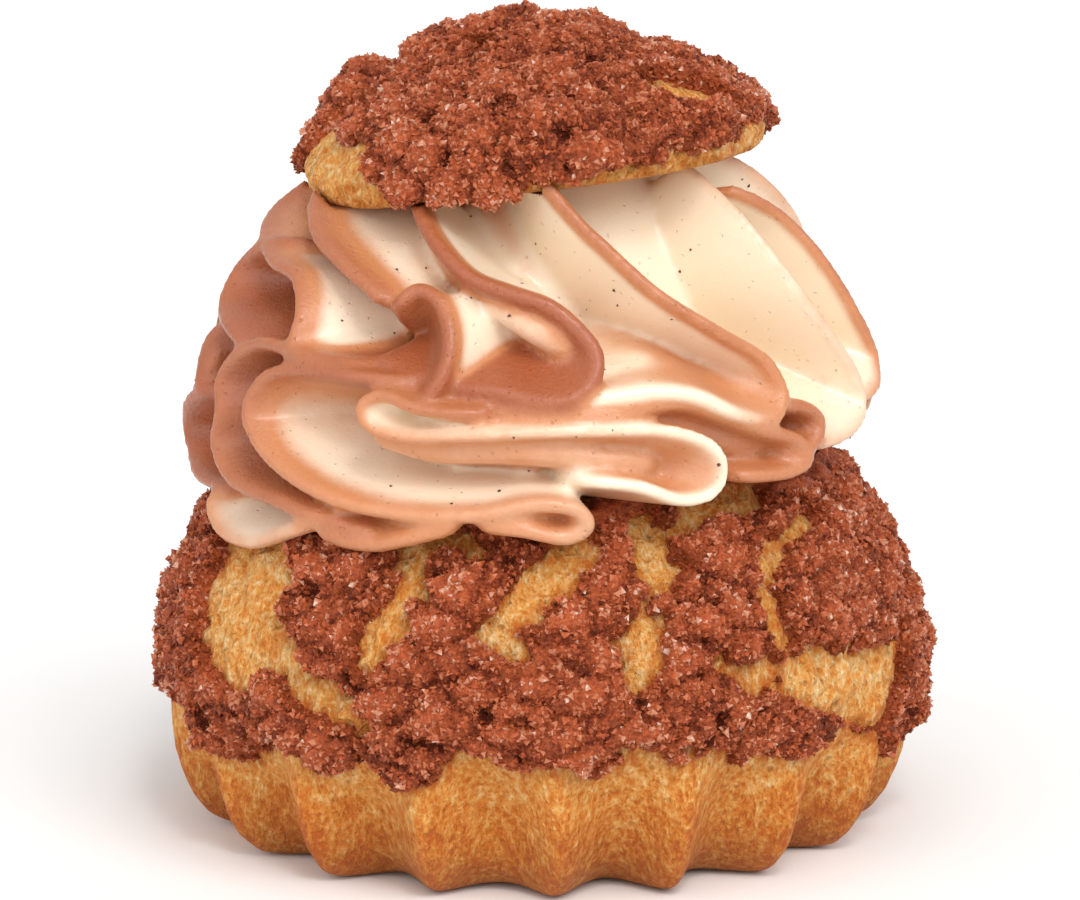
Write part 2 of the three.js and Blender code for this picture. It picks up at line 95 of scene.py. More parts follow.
# Folds of the cream. The edge runs through turn, height and how far it stands proud, and the fold goes in
# from there to where it gathers: a turn, height and radius, or two of them that it moves between. The tones,
# from 0 for vanilla to 1 for chocolate, run from the edge's start to its end: on the edge (rim), over a band
# of that width, and on both flanks. Lip and root are half the thickness at the edge and where it gathers.
FOLDS = [
    dict(edge=[(-64, 54, -2), (-77, 50, 0), (-79, 46, 0), (-74, 42, 0)], gather=[(-58, 47, 16)],
         rim=(0.9, 0.9), left=(1, 1), right=(1, 1)),
    dict(edge=[(-58, 60, -2), (-74, 59, 0), (-81, 56, 0), (-78, 53, 0), (-66, 51, 0), (-54, 49, -1)],
         gather=[(-46, 54, 14)], rim=(0.85, 0.85), left=(1, 1), right=(0.95, 0.95)),
    dict(edge=[(-98, 67, 0), (-94, 62, 0), (-84, 60, 0), (-64, 58, 0), (-52, 57, 0), (-47, 54, 0),
         (-46, 51, 0), (-34, 50, -1)], gather=[(-50, 60, 9), (-20, 52, 15)], root=3.0, rim=(0.85, 0.8, 0.7),
         left=(0.95, 0.9), right=(0.7, 0.55, 0.12, 0.05), band=2.4),
    dict(edge=[(-86, 68, 0), (-70, 64, 0), (-55, 61, 0), (-43, 59, 0), (-33, 57, 0), (-25, 54, -1)],
         gather=[(-30, 62, 8), (-14, 57, 12)], root=3.2, rim=(0.85, 0.8, 0.75), left=(0.95, 0.85),
         right=(0.25, 0.08), band=3.6),
    dict(edge=[(-30, 53.5, -1.5), (-26, 56, 0), (-23, 57.6, 0), (-18, 56.6, 0), (-15, 53.7, 0),
         (-15, 51, 0), (-17, 48.4, 0), (-24, 46.5, -2)], gather=[(-32, 51, 16)], root=3.4, lip=0.75,
         rim=(0.8, 0.85, 0.9, 0.85), left=(0.6, 0.85, 0.95), right=(0.1, 0.06), band=1.5),
    dict(edge=[(-24, 57.6, -1.4), (-18, 56.2, -0.8), (-15.5, 54, -0.8), (-15, 52, -0.8), (-16, 50, -0.8),
         (-17.5, 48, -1.4)], gather=[(-3, 54.5, 23), (-12, 47.5, 25)], root=2, lip=0.7, rim=(0.4, 0.4),
         left=(0.05, 0.04), right=(0.05, 0.04), band=1.0),
    dict(edge=[(-44, 68, 0), (-33, 65, 0), (-22, 61.4, 0), (-13, 58.6, 0), (-5, 57.4, 0), (2.5, 56.2, 0),
         (7.5, 54, 0), (10, 51.8, 0), (9, 49.5, 0), (5, 47.8, 0), (0, 47.6, -0.4), (-7, 48.4, -1),
         (-13, 48.5, -1.5), (-20, 48.9, -2), (-28, 50, -2.6), (-36, 50.6, -3.5)], gather=[(-14, 55, 12),
         (-16, 51, 20)], root=3.4, lip=0.8, rim=(0.85, 0.9, 0.95, 0.95, 0.9, 0.9, 0.9),
         left=(0.3, 0.4, 0.8, 0.92, 0.92, 0.92), right=(0.05, 0.03, 0.03, 0.05, 0.3, 0.6), band=1.5),
    dict(edge=[(-15, 57.8, -3), (-9, 56.3, -2.2), (-4.6, 55, -2), (0, 53.6, -1.9), (4.4, 52.4, -1.9),
         (8, 51.5, -2), (11, 51, -2.5)], gather=[(-6, 55, 18), (3, 52, 18)], root=1.8, lip=1.3,
         rim=(0.15, 0.3, 0.5), left=(0.15, 0.3, 0.5), right=(0.2, 0.4, 0.6), band=0.8),
    dict(edge=[(-13, 70.5, 0), (-6, 69, 3), (0.5, 67.4, 4.4), (4.5, 65.4, 2.4), (9, 63.2, 0.6), (14, 61, 0),
         (22, 57, 0), (33, 53, 0), (41, 50, 0), (43, 47, 0), (40, 45, 0.3), (33, 45.7, 0.5),
         (26, 47.8, 0.5), (19, 48.6, 0.3), (12, 48.2, -0.2), (5, 47.8, -0.9), (-3, 47.5, -3)],
         gather=[(14, 56, 8), (18, 49, 18)], root=4.6, lip=0.6,
         rim=(0.85, 0.85, 0.85, 0.8, 0.75, 0.55, 0.06, 0, 0.05),
         left=(0.12, 0.12, 0.05, 0.06, 0.14, 0.42, 0.5, 0.3, 0.2), right=(0, 0, 0.05), band=0.9),
    # The left and right tones that rise towards this fold's lower end are painted shade where it curls under.
    dict(edge=[(54, 69, 0), (51, 63, 0), (53, 58, 0), (58, 52, 0), (64, 47, 0), (65, 44, 0), (59, 42, 0),
         (44, 41, -1)], gather=[(56, 54, 5)], root=4.2, lip=0.6, rim=(0.35, 0.32, 0.32),
         left=(0, 0.04, 0.2), right=(0.03, 0.08, 0.3), band=0.6),
    dict(edge=[(50, 66, -1), (60, 64.5, 0), (68, 62, 0), (71, 58, 0), (74, 52, 0), (77, 47.5, 0),
         (72, 45, 0), (60, 44, -2)], gather=[(80, 55, 6)], lip=0.65, rim=(0.75, 0.8, 0.8, 0.1),
         left=(0, 0.02, 0.04), right=(0.1, 0.15, 0.05), band=0.8),
    dict(edge=[(-70, 46, -1), (-82, 43, 0.5), (-87, 40, 0.5), (-84, 37.5, 0), (-76, 36, 0), (-58, 36, -1)],
         gather=[(-62, 41, 16)], rim=(0.9, 0.85), left=(0.95, 0.95), right=(0.95, 0.9)),
    dict(edge=[(-26, 50, -2), (-40, 50.5, 0), (-47, 51, 0), (-56, 51, 0), (-63, 49, 0), (-66, 46.5, 0),
         (-64, 44, 0), (-65, 40.5, 0), (-59, 37.5, 0), (-46, 36.5, 0), (-36, 35.5, 0), (-22, 34, 0)],
         gather=[(-20, 48, 15), (-44, 41, 18)], rim=(0.8, 0.75), left=(0.95, 0.85), right=(0.95, 0.85)),
    dict(edge=[(-67, 38, 0), (-68, 35, 0.5), (-65, 32, 1.5), (-55, 31.5, 1.5), (-42, 34, 0.5),
         (-30, 37, -1)], gather=[(-50, 39, 20)], rim=(0.6, 0.35, 0.5), left=(0.6, 0.5),
         right=(0.3, 0.08, 0.3), band=1.0),
    dict(edge=[(-42, 36, 0), (-35, 34, 0.5), (-28, 33.5, 0.5), (-21, 34.5, 0.5), (-8, 37, 0)],
         gather=[(-28, 40, 20)], rim=(0.75, 0.5), left=(0.7, 0.6), right=(0.7, 0.3), band=1.5),
    dict(edge=[(-16, 49, -2), (-30, 49.5, 0), (-43, 49.5, 0), (-52, 48, 0), (-55, 44.5, 0), (-49, 41, 0),
         (-36, 38, 0), (-22, 37, 0), (-10, 37.3, 0), (0, 38.5, 0), (6, 38, 0), (8, 36.5, 0), (5, 35.2, 0),
         (-3, 36, 0), (-14, 36.5, 0)], gather=[(-20, 45, 15), (-4, 38, 22)],
         rim=(0.8, 0.85, 0.75, 0.6, 0.45, 0.4, 0.4, 0.5), left=(0.95, 0.95, 0.9),
         right=(0.9, 0.5, 0.1, 0.03, 0.02, 0.2), band=2.8),
    dict(edge=[(-3, 47.2, -1.5), (-12, 46.8, 0.2), (-20, 47.2, 0.7), (-26, 48.2, 0.7), (-29.5, 47, 0.5),
         (-28, 45.1, 0.2), (-22, 44.4, 0), (-10, 44.9, 0), (8, 45.5, 0), (22, 45, 0), (28.5, 43.2, 0),
         (30, 41, 0), (28, 38.8, 0), (23, 38.4, 0), (16, 40, 0), (2, 41, -1)], gather=[(-4, 46.5, 20),
         (4, 39.5, 24)], root=2.4, lip=0.6, rim=(0.85, 0.8, 0.7, 0.45, 0.35, 0.25, 0.15, 0.05, 0, 0, 0.05),
         left=(0.75, 0.7, 0.6, 0.5, 0.48, 0.45, 0.42, 0.45, 0.5),
         right=(0.5, 0.2, 0.12, 0.15, 0.3, 0.5, 0.4, 0.3), band=0.6),
    dict(edge=[(-34, 45.4, -2.6), (-28, 44.2, -1.9), (-23, 43.5, -1.7), (-17.8, 43, -1.8),
         (-8.8, 43.2, -1.8), (1, 43, -1.8), (9.6, 42.3, -2), (18, 41.6, -2.6), (25, 41, -3.4)],
         gather=[(-14, 43, 20), (10, 41, 20)], root=2.4, lip=1.3, rim=(0.42, 0.4), left=(0.42, 0.42),
         right=(0.4, 0.38), band=1.0),
    dict(edge=[(-14, 46.5, -3), (-6, 46.9, -1.4), (3, 46.8, -0.6), (11, 46.8, -0.4), (18, 47.4, -0.4),
         (24, 47.4, -0.4), (31, 45.8, -0.3), (38, 44.1, 0), (45, 42.7, 0), (47.7, 40.8, 0), (44, 39.8, 0),
         (28, 40, -1)], gather=[(24, 42, 15)], root=2.8, lip=0.7, rim=(0.7, 0.65), left=(0.75, 0.7),
         right=(0.75, 0.65), band=1.2),
    dict(edge=[(2, 49.5, -5), (8, 49.2, -3.6), (13, 49.2, -3.4), (20, 49.4, -3.6), (26, 49, -5)],
         gather=[(10, 49, 17), (18, 49, 17)], root=2.4, lip=1.4, rim=(0.06, 0.12), left=(0.05, 0.12),
         right=(0.05, 0.12), band=1.0),
    dict(edge=[(12, 45.2, -3), (18, 45.6, -2.6), (25.5, 44.4, -2.6), (33, 43.1, -2.6), (41.6, 41.6, -2.6),
         (46, 40.8, -3)], gather=[(20, 43, 18), (36, 42, 18)], root=2.6, lip=1.5, rim=(0.68, 0.65),
         left=(0.68, 0.65), right=(0.68, 0.65), band=1.0),
    dict(edge=[(36, 46, -1), (47, 45.7, 0), (51, 44, 0), (49, 42, 0), (38, 41, -1)], gather=[(40, 44, 18)],
         root=2.8, lip=0.7, rim=(0.75, 0.7), left=(0.8, 0.75), right=(0.12, 0.7), band=1.2),
]
# Folds of the far side, each set repeated round the swirl, with how far out the first of a set is moved
FAR_SETS = [
    dict(edge=[(-8, 69, 0), (6, 64, 0), (20, 57, 0), (34, 52, 0), (41, 48, 0), (36, 44.5, 0), (18, 46, -1)],
         gather=[(14, 56, 8), (16, 49, 14)], root=4.6, band=1.1, count=6, first=94, step=30, first_out=0),
    dict(edge=[(-18, 48, -1), (-28, 47, 0), (-30, 43, 0), (-20, 38, 0), (0, 36.5, 0), (18, 37.5, 0),
         (24, 36, 0), (12, 34.5, 0)], gather=[(-8, 44, 15), (6, 38, 20)], root=2.8, band=2.4, count=5,
         first=92, step=42, first_out=-7),
    dict(edge=[(-4, 47.5, -1), (-16, 47, 0), (-17, 44.5, 0), (0, 44, 0), (18, 44, 0), (24, 41, 0),
         (14, 39.5, 0), (-4, 41, -1)], gather=[(0, 46, 16), (2, 41.5, 18)], root=2.8, band=1.4, count=5,
         first=78, step=43, first_out=-3),
]

# Corners and faces of a grain with six faces, and of a smaller one with four
DOUBLE_PYRAMID = ([(1, 0, 0), (-0.5, 0.87, 0), (-0.5, -0.87, 0), (0, 0, 1), (0, 0, -1)],
                  [(0, 1, 3), (1, 2, 3), (2, 0, 3), (1, 0, 4), (2, 1, 4), (0, 2, 4)])
FOUR_SIDED = ([(0.6, 0.6, 0.6), (0.6, -0.6, -0.6), (-0.6, 0.6, -0.6), (-0.6, -0.6, 0.6)],
              [(0, 1, 2), (0, 2, 3), (0, 3, 1), (1, 3, 2)])
# Kinds of sugar grain: the setting that spaces them, corners and faces, least and most size, and how far
# out of the crust their middles are, as a share of their size
GRAIN_KINDS = [
    ("grain", DOUBLE_PYRAMID, (0.28, 0.54), (-0.6, 0.1)),
    ("chip", FOUR_SIDED, (0.22, 0.42), (-0.5, 0.2)),
]
# Vanilla seeds in the same way, and their least spacing
SPECK_SIZES, SPECK_PROUD, SPECK_SPACING = (0.12, 0.24), (-0.1, 0.5), 1.5
# Height above which the base carries no grains, because the cream lies there
GRAIN_TOP = 36.5
# Starts of the seeded chances: far cracks, far folds, the lid's lumps, each crust with its grains, and specks
CRACK_START, FOLD_START, LUMP_START = 5, 17, 9
BASE_STARTS, LID_STARTS, SPECK_STARTS = (1.0, 31), (41.0, 57), (76, 77, 78)

# Fineness of the meshes: numbers of points, and steps between points in millimetres
BASE_ROWS, FLUTE_COLUMNS = 110, 38
CRUST_COLUMNS, CRUST_STEP = 660, 0.35
LID_GRID, LID_CRUST_GRID = 150, 230
FOLD_SECTION, FOLD_STEP = 64, 0.7

# Lights: strength, spread and rotation
LIGHTS = {"key": (1.6, 46, (47, 0, 30)), "fill": (0.9, 70, (64, 0, -40)), "glint": (0.45, 10, (40, 0, 12))}


def shade(red, green, blue):
    """A colour given as 0 to 255, as the shaders need it."""
    parts = [value / 255 for value in (red, green, blue)]
    return [part / 12.92 if part < 0.04045 else ((part + 0.055) / 1.055) ** 2.4 for part in parts] + [1.0]


def length_of(name, description, millimetres):
    return FloatProperty(name=name, description=description, default=millimetres * MM, unit="LENGTH",
                         precision=5)


def angle_of(name, description, degrees):
    return FloatProperty(name=name, description=description, default=math.radians(degrees), subtype="ANGLE")


def share_of(name, description, share):
    return FloatProperty(name=name, description=description, default=share, subtype="FACTOR", min=0, max=1)


def count_of(name, description, count, least=0):
    return IntProperty(name=name, description=description, default=count, min=least)


def colour_of(name, description, red, green, blue):
    return FloatVectorProperty(name=name, description=description, subtype="COLOR", size=4, min=0, max=1,
                               default=shade(red, green, blue))


class ChouxSettings(PropertyGroup):
    """Sizes and colours of the choux"""

    foot_radius: length_of("Foot radius", "Radius of the flat foot at the ridges", 31)
    belly_radius: length_of("Belly radius", "Widest radius of the choux under its crust", 37.4)
    belly_height: length_of("Belly height", "Height of the widest place", 15)
    cut_radius: length_of("Cut radius", "Radius of the cut that the cream stands on", 26)
    cut_height: length_of("Cut height", "Height of the cut", 37.5)
    flutes: count_of("Flutes", "Ridges round the foot", 18, least=3)
    flute_depth: length_of("Flute depth", "How far a panel is hollowed between two ridges", 4.6)
    flute_turn: angle_of("Flute turn", "Turn of the front ridge", 2)
    flute_full: length_of("Flute full to", "Height up to which the flutes keep their depth", 6)
    flute_gone: length_of("Flute gone at", "Height at which the flutes have run out", 20)
    pale: colour_of("Pale", "Open crumb that the crust kept from browning", 244, 208, 149)
    light: colour_of("Light", "Choux where it is least baked", 237, 172, 90)
    golden: colour_of("Golden", "Baked choux", 220, 132, 44)
    toasted: colour_of("Toasted", "Choux toasted beside the crust", 193, 94, 21)
    # Brown also colours the painted shade in the pores and the darkening towards the foot.
    brown: colour_of("Brown", "Choux baked darkest, at the foot and in pores", 139, 73, 21)


class CrustSettings(PropertyGroup):
    """Sizes and colours of the sugar crust"""

    thickness: length_of("Thickness", "How far the crust stands on the choux", 1.9)
    clump: length_of("Clump size", "Spacing of the crust's lumps", 3.6)
    clump_height: length_of("Clump height", "How far lumps rise out of their creases", 1.5)
    knob: length_of("Knob size", "Spacing of the smaller knobs on the lumps", 1.3)
    knob_height: length_of("Knob height", "How far knobs rise", 0.5)
    grain: length_of("Grain size", "Spacing of the larger sugar grains", 0.9)
    chip: length_of("Fine grain size", "Spacing of the smaller sugar grains", 0.56)
    edge_height: length_of("Edge height", "Mean height of the crust's lower edge", 12.6)
    edge_tilt: length_of("Edge tilt", "How much higher that edge is at the front", 1.8)
    # Dark colours the painted shade in the crust's creases and pits, and its random blotches; bright is painted
    # light on the tops of lumps and grains.
    dark: colour_of("Dark", "Crust in its creases", 98, 34, 12)
    middle: colour_of("Middle", "Crust", 202, 97, 53)
    bright: colour_of("Bright", "Crust on top of the grains", 222, 146, 110)
    # Sugar is the colour of the painted glints on a few grain corners.
    sugar: colour_of("Sugar", "Grains of sugar that caught no heat", 252, 222, 202)
    amber: colour_of("Amber", "Crust melted thin along its edges", 178, 82, 28)


class CreamSettings(PropertyGroup):
    """Sizes and colours of the cream"""

    radius: length_of("Radius", "Widest reach of the folds", 35.2)
    waist: length_of("Waist", "Height of the widest reach", 38)
    rise: length_of("Rise", "Height from there to the top of the swirl", 34)
    power: FloatProperty(name="Fullness", description="How full the swirl's outline is", default=2.2, min=1)
    core: share_of("Core", "Share of the swirl that is its middle", 0.6)
    edge: length_of("Edge", "Half the thickness of a fold's edge", 0.72)
    voxel: length_of("Voxel", "Size of the cells that join the folds", 0.44)
    keep: share_of("Keep", "Share of the joined mesh's faces that is kept", 0.58)
    specks: count_of("Specks", "Vanilla seeds in the cream", 150)
    vanilla: colour_of("Vanilla", "Vanilla cream", 246, 228, 202)
    blend: colour_of("Blend", "Where vanilla and chocolate run together", 206, 138, 92)
    chocolate: colour_of("Chocolate", "Chocolate cream", 170, 92, 54)
    seed: colour_of("Seed", "Vanilla seeds", 38, 24, 16)


class LidSettings(PropertyGroup):
    """Size and place of the lid"""

    radius: length_of("Radius", "Radius of the lid's choux", 22.6)
    height: length_of("Height", "Height of the lid's choux", 13.4)
    place: FloatVectorProperty(name="Place", description="Middle of the lid's cut face", unit="LENGTH",
                               subtype="TRANSLATION", default=(-0.0004, 0, 0.0657))
    tilt: angle_of("Tilt", "How far the lid leans to the left", 5.7)
    droop: length_of("Droop", "How far the rim hangs lower at the left of the front", 1.0)
    droop_turn: angle_of("Droop turn", "Turn of the place where it hangs lowest", -52)


class StageSettings(PropertyGroup):
    """Floor, light and camera"""

    floor: colour_of("Floor", "Pale floor", 248, 247, 245)
    distance: length_of("Distance", "Camera to the puff", 410)
    aim: length_of("Aim", "Height that the camera looks at", 37)
    elevation: angle_of("Elevation", "Camera's angle above the floor", 11)
    lens: FloatProperty(name="Lens", description="Focal length in millimetres", default=136.7)
    sky: FloatProperty(name="Sky", description="Strength of the white light all round", default=0.66, min=0)


def seeded(seed):
    """Numbers from 0 to 1 in a fixed order."""
    state = seed
    while True:
        state = (state * 1664525 + 1013904223) % 4294967296
        yield state / 4294967296


def smoothstep(low, high, value):
    share = np.clip((value - low) / (high - low), 0, 1)
    return share * share * (3 - 2 * share)


def ring_place(turn, height, radius):
    """Points at a turn in degrees, a height and a radius."""
    angle = np.radians(turn)
    return np.stack(np.broadcast_arrays(radius * np.sin(angle), -radius * np.cos(angle), height), -1)


def smooth_run(points, count):
    """A smooth curve through the points, at evenly spaced places, and the distance along it.

    The count is a whole number of places, or else the distance from one place to the next.
    """
    steps, fewest, least = 24, 6, 1e-9
    knots = np.array(points, float)
    knots = np.vstack([2 * knots[0] - knots[1], knots, 2 * knots[-1] - knots[-2]])
    parts = []
    for a, b, c, d in zip(knots, knots[1:], knots[2:], knots[3:]):
        ab, bc, cd = (max(np.linalg.norm(q - p), least) ** 0.5 for p, q in ((a, b), (b, c), (c, d)))
        t = np.linspace(0, bc, steps, endpoint=False)[:, None]
        one = b + (b - a) * t / ab
        two = b + (c - b) * t / bc
        three = c + (d - c) * (t - bc) / cd
        early = ((bc - t) * one + (ab + t) * two) / (ab + bc)
        late = ((bc + cd - t) * two + t * three) / (bc + cd)
        parts.append(((bc - t) * early + t * late) / bc)
    fine = np.vstack(parts + [knots[-2:-1]])
    along = np.concatenate([[0], np.cumsum(np.linalg.norm(np.diff(fine, axis=0), axis=1))])
    even = np.linspace(0, along[-1], count if isinstance(count, int) else max(fewest, int(along[-1] / count)))
    return np.stack([np.interp(even, along, fine[:, k]) for k in range(fine.shape[1])], 1), even


def cloud(points, size, shift=0.0):
    """Soft noise from -1 to 1 with lumps of about the given size."""
    return np.array([noise.noise(spot) for spot in (points.reshape(-1, 3) / size + shift).tolist()])


def uneven(points, *layers):
    """Soft noise in layers of height, size and shift, the first two in millimetres."""
    return sum(height * MM * cloud(points, size * MM, shift) for height, size, shift in layers)


def domes(points, size, shift=0.0):
    """Packed round lumps: 1 on top of a lump, 0 in the crease between lumps."""
    crease_width, reach = 0.5, 0.9
    spots = (points.reshape(-1, 3) / size + shift).tolist()
    nearest, second = np.array([noise.voronoi(spot)[0][:2] for spot in spots]).T
    crease = np.sqrt(np.clip((second - nearest) / crease_width, 0, 1))
    return 0.6 * crease + 0.4 * np.clip(1 - (nearest / reach) ** 2, 0, 1)


def open_pits(points, depth, size, shift):
    """Depths of the round pits in an open crumb, of the given depth and size in millimetres."""
    return smoothstep(0.62, 0.95, domes(points, size * MM, shift)) * depth * MM


def bare_distance(points, strokes):
    """Distance to the nearest bare stroke's edge, below 0 inside it. A stroke is places and half widths."""
    flat = points.reshape(-1, 3)
    least = np.full(len(flat), np.inf)
    for places, half in strokes:
        for a, b, half_a, half_b in zip(places, places[1:], half, half[1:]):
            run = b - a
            share = np.clip((flat - a) @ run / (run @ run), 0, 1)
            away = np.linalg.norm(flat - a - share[:, None] * run, axis=1)
            least = np.minimum(least, away - half_a - (half_b - half_a) * share)
    return least


def strokes_on(runs, radius_at):
    """Strokes laid on a round surface, from runs of turn, height and width."""
    strokes = []
    for run in runs:
        turn, height, width = np.array(run, float).T
        strokes.append((ring_place(turn, height * MM, radius_at(height * MM)), width * MM / 2))
    return strokes


def quads(rows, columns, closed):
    """Corner numbers of the faces of a grid, joined up along its columns if it is closed."""
    grid = np.arange(rows * columns).reshape(rows, columns)
    right = np.roll(grid, -1, 1)
    if not closed:
        grid, right = grid[:, :-1], right[:, :-1]
    return np.stack([grid[:-1], right[:-1], right[1:], grid[1:]], -1).reshape(-1, 4)


def capped_quads(rows, columns):
    """Faces of a closed grid, with one more face over each of its two ends."""
    ring = list(range(columns))
    return quads(rows, columns, True).tolist() + [ring[::-1], [(rows - 1) * columns + k for k in ring]]


def disc_grid(count):
    """A square grid bent into a disc: radius share and turn of each point."""
    side = np.linspace(-1, 1, count)
    across, up = np.meshgrid(side, side)
    wide = np.abs(across) > np.abs(up)
    safe_across = np.where(wide, across, 1)
    safe_up = np.where(wide | (up == 0), 1, up)
    radius = np.where(wide, across, up)
    angle = np.where(wide, math.pi / 4 * up / safe_across, math.pi / 2 - math.pi / 4 * across / safe_up)
    east, north = radius * np.cos(angle), radius * np.sin(angle)
    return np.hypot(east, north), np.degrees(np.arctan2(east, -north))


def add_piece(name, vertices, faces, material, node, slot, smooth=True, **values):
    """Makes a mesh piece with a number per vertex for each value, and joins it to the frame."""
    mesh = bpy.data.meshes.new(name)
    mesh.from_pydata(vertices.reshape(-1, 3).tolist(), [], [list(face) for face in faces])
    return dress(mesh, name, material, node, slot, smooth, **values)


def dress(mesh, name, material, node, slot, smooth=True, **values):
    """Makes a piece of a mesh, as add_piece does."""
    mesh.name = name
    mesh.polygons.foreach_set("use_smooth", [smooth] * len(mesh.polygons))
    for key, numbers in values.items():
        store = mesh.attributes.new(key, "FLOAT", "POINT")
        store.data.foreach_set("value", np.asarray(numbers, np.float32).ravel())
    mesh.update()
    piece = bpy.data.objects.new(name, mesh)
    bpy.context.scene.collection.objects.link(piece)
    mesh.materials.clear()
    mesh.materials.append(material)
    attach(piece, "root")
    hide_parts(node)
    return piece


# Shapes of the choux

def base_outline(choux):
    """Radius and height of the base's side, from the foot up to the cut."""
    foot, belly, cut = choux.foot_radius, choux.belly_radius, choux.cut_radius
    middle, top = choux.belly_height, choux.cut_height
    return np.array([
        (foot - 1 * MM, 0), (foot + 1.4 * MM, 0.7 * MM), (foot + 3 * MM, 2 * MM), (foot + 4.4 * MM, 4 * MM),
        (belly - 0.4 * MM, middle - 6 * MM), (belly, middle + 2 * MM),
        (belly - 2 * MM, top - 12.5 * MM), (cut + 5.5 * MM, top - 5.5 * MM), (cut, top),
    ])


def lid_outline(lid):
    """Radius and height of the lid's side, from its crown down to its cut face."""
    radius, height = lid.radius, lid.height
    return np.array([
        (0, height), (radius * 0.28, height - 0.9 * MM), (radius * 0.6, height - 4.2 * MM),
        (radius - 3.2 * MM, 5.8 * MM), (radius, 2.6 * MM), (radius - 0.1 * MM, 1 * MM),
        (radius - 0.5 * MM, 0.25 * MM), (radius - 1.4 * MM, 0),
    ])


def side_normals(run):
    """Outward directions, as radius and height, along a run that goes up the side."""
    along = np.gradient(run, axis=0)
    out = np.stack([along[:, 1], -along[:, 0]], 1)
    return out / np.linalg.norm(out, axis=1, keepdims=True)


def base_surface(choux, run, columns):
    """Points of the fluted base, their outward directions, turns, heights and shares of a flute."""
    wander, uneven_depth, ridge_width = 1.6, 0.22, 0.1
    first = math.degrees(choux.flute_turn)
    turn = np.arange(columns) * 360 / columns + first
    turn, radius = np.broadcast_arrays(turn, run[:, :1])
    height = np.broadcast_to(run[:, 1:], turn.shape)
    smooth = ring_place(turn, height, radius)
    strayed = turn + wander * cloud(smooth, 16 * MM, 3.1).reshape(turn.shape)
    share = (strayed - first) * choux.flutes / 360 % 1
    away = np.minimum(share, 1 - share)
    soft = 0.5 * (np.hypot(away, ridge_width) - ridge_width) / (math.hypot(0.5, ridge_width) - ridge_width)
    hollow = 4 * soft * (1 - soft)
    depth = choux.flute_depth * (1 - smoothstep(choux.flute_full, choux.flute_gone, height))
    depth = depth * (1 + uneven_depth * cloud(smooth, 14 * MM, 8.4).reshape(turn.shape))
    normal = side_normals(run)
    points = ring_place(turn, height, radius - depth * hollow)
    out = ring_place(turn, np.broadcast_to(normal[:, 1:], turn.shape), normal[:, :1])
    return points, out, turn, height, share


def base_strokes(choux):
    """Cracks of the base's crust, at the front and, seeded, on the far side."""
    count, first, last, high, low = 15, 82, 290, 34, 26
    outline = base_outline(choux)
    draw = seeded(CRACK_START)
    runs = list(FRONT_CRACKS)
    for i in range(count):
        turn = first + (last - first) * (i + next(draw)) / count
        top = (high if i % 2 == 0 else low) - 3.5 * next(draw)
        end_turn = turn + 24 * (next(draw) - 0.5)
        end = top - 4 - 4 * next(draw)
        width = 2.5 + 2.5 * next(draw)
        bend = 0.5 * (turn + end_turn) + 5 * (-1) ** i
        runs.append([(turn, top, width), (bend, 0.5 * (top + end), 0.8 * width), (end_turn, end, 0.7 * width)])
    return strokes_on(runs, lambda height: np.interp(height, outline[:, 1], outline[:, 0]))


def crust_edge(crust, turn):
    """Height of the crust's lower edge: as stations at the front, in waves elsewhere."""
    turn = (turn + 180) % 360 - 180
    angle = np.radians(turn)
    waves = 1.5 * MM * np.sin(9 * angle + 1) + 0.9 * MM * np.sin(14 * angle)
    far = crust.edge_height + crust.edge_tilt * np.cos(angle) + waves
    stations, heights = np.array(FRONT_EDGE, float).T
    near = np.interp(turn, stations, heights * MM)
    share = smoothstep(76, 90, np.abs(turn))
    return near + (far - near) * share


def base_cover(choux, crust, points, turn, height):
    """How far inside the crust a point of the base is, below 0 on bare choux."""
    above = (height - crust_edge(crust, turn)).ravel()
    inside = np.minimum(above, bare_distance(points, base_strokes(choux)))
    return inside + uneven(points, (1.2, 3.0, 0), (1.0, 1.3, 7.3))


def lay_crust(crust, points, out, inside, lumps, seed):
    """Crust on a surface: its points, how high on its lumps each one is, and how near the crust's edge."""
    sunk, bend, roll, pit_depth = 0.7 * MM, 0.9 * MM, 0.5 * MM, 1.1 * MM
    clump_stretch = (0.7, 1, 1)
    flat, out = points.reshape(-1, 3), out.reshape(-1, 3)
    bent = flat + bend * np.stack([cloud(flat, 2.2 * MM, seed + shift) for shift in (0.3, 11.7, 23.1)], 1)
    clumps = domes(bent * clump_stretch, crust.clump, seed)
    knobs = domes(bent, crust.knob, seed + 3.3)
    pits = smoothstep(0.34, 0.54, cloud(flat, 2.4 * MM, seed + 5.7))
    relief = crust.clump_height * (clumps - 0.75) + crust.knob_height * (knobs - 0.6)
    relief += roll * cloud(flat, 6 * MM, seed + 1.9) + lumps - pit_depth * pits
    lift = (crust.thickness + sunk) * smoothstep(-0.25 * MM, 0.35 * MM, inside) - sunk
    lift += relief * smoothstep(-0.1 * MM, 0.8 * MM, inside)
    # Crest carries painted shade and light: lower in the creases and pits, higher on the tops of lumps and
    # knobs.
    crest = 0.46 * clumps ** 0.8 + 0.18 * knobs - 0.04 - 0.26 * pits
    edge = smoothstep(0.9 * MM, 0.1 * MM, inside)
    return flat + out * lift[:, None], crest, edge


def keep_faces(faces, inside):
    """The faces with a corner in the crust or close to it, and the vertices that they use."""
    close = 0.5 * MM
    faces = faces[(inside[faces] > -close).any(axis=1)]
    used = np.unique(faces)
    order = np.zeros(len(inside), int)
    order[used] = np.arange(len(used))
    return order[faces], used


def lid_matrix(lid):
    """The lid's place and lean."""
    return np.array(Matrix.Translation(lid.place) @ Matrix.Rotation(-lid.tilt, 4, "Y"))


def to_lid(lid, points):
    """Points of the lid, put where the lid lies."""
    matrix = lid_matrix(lid)
    return points.reshape(-1, 3) @ matrix[:3, :3].T + matrix[:3, 3]


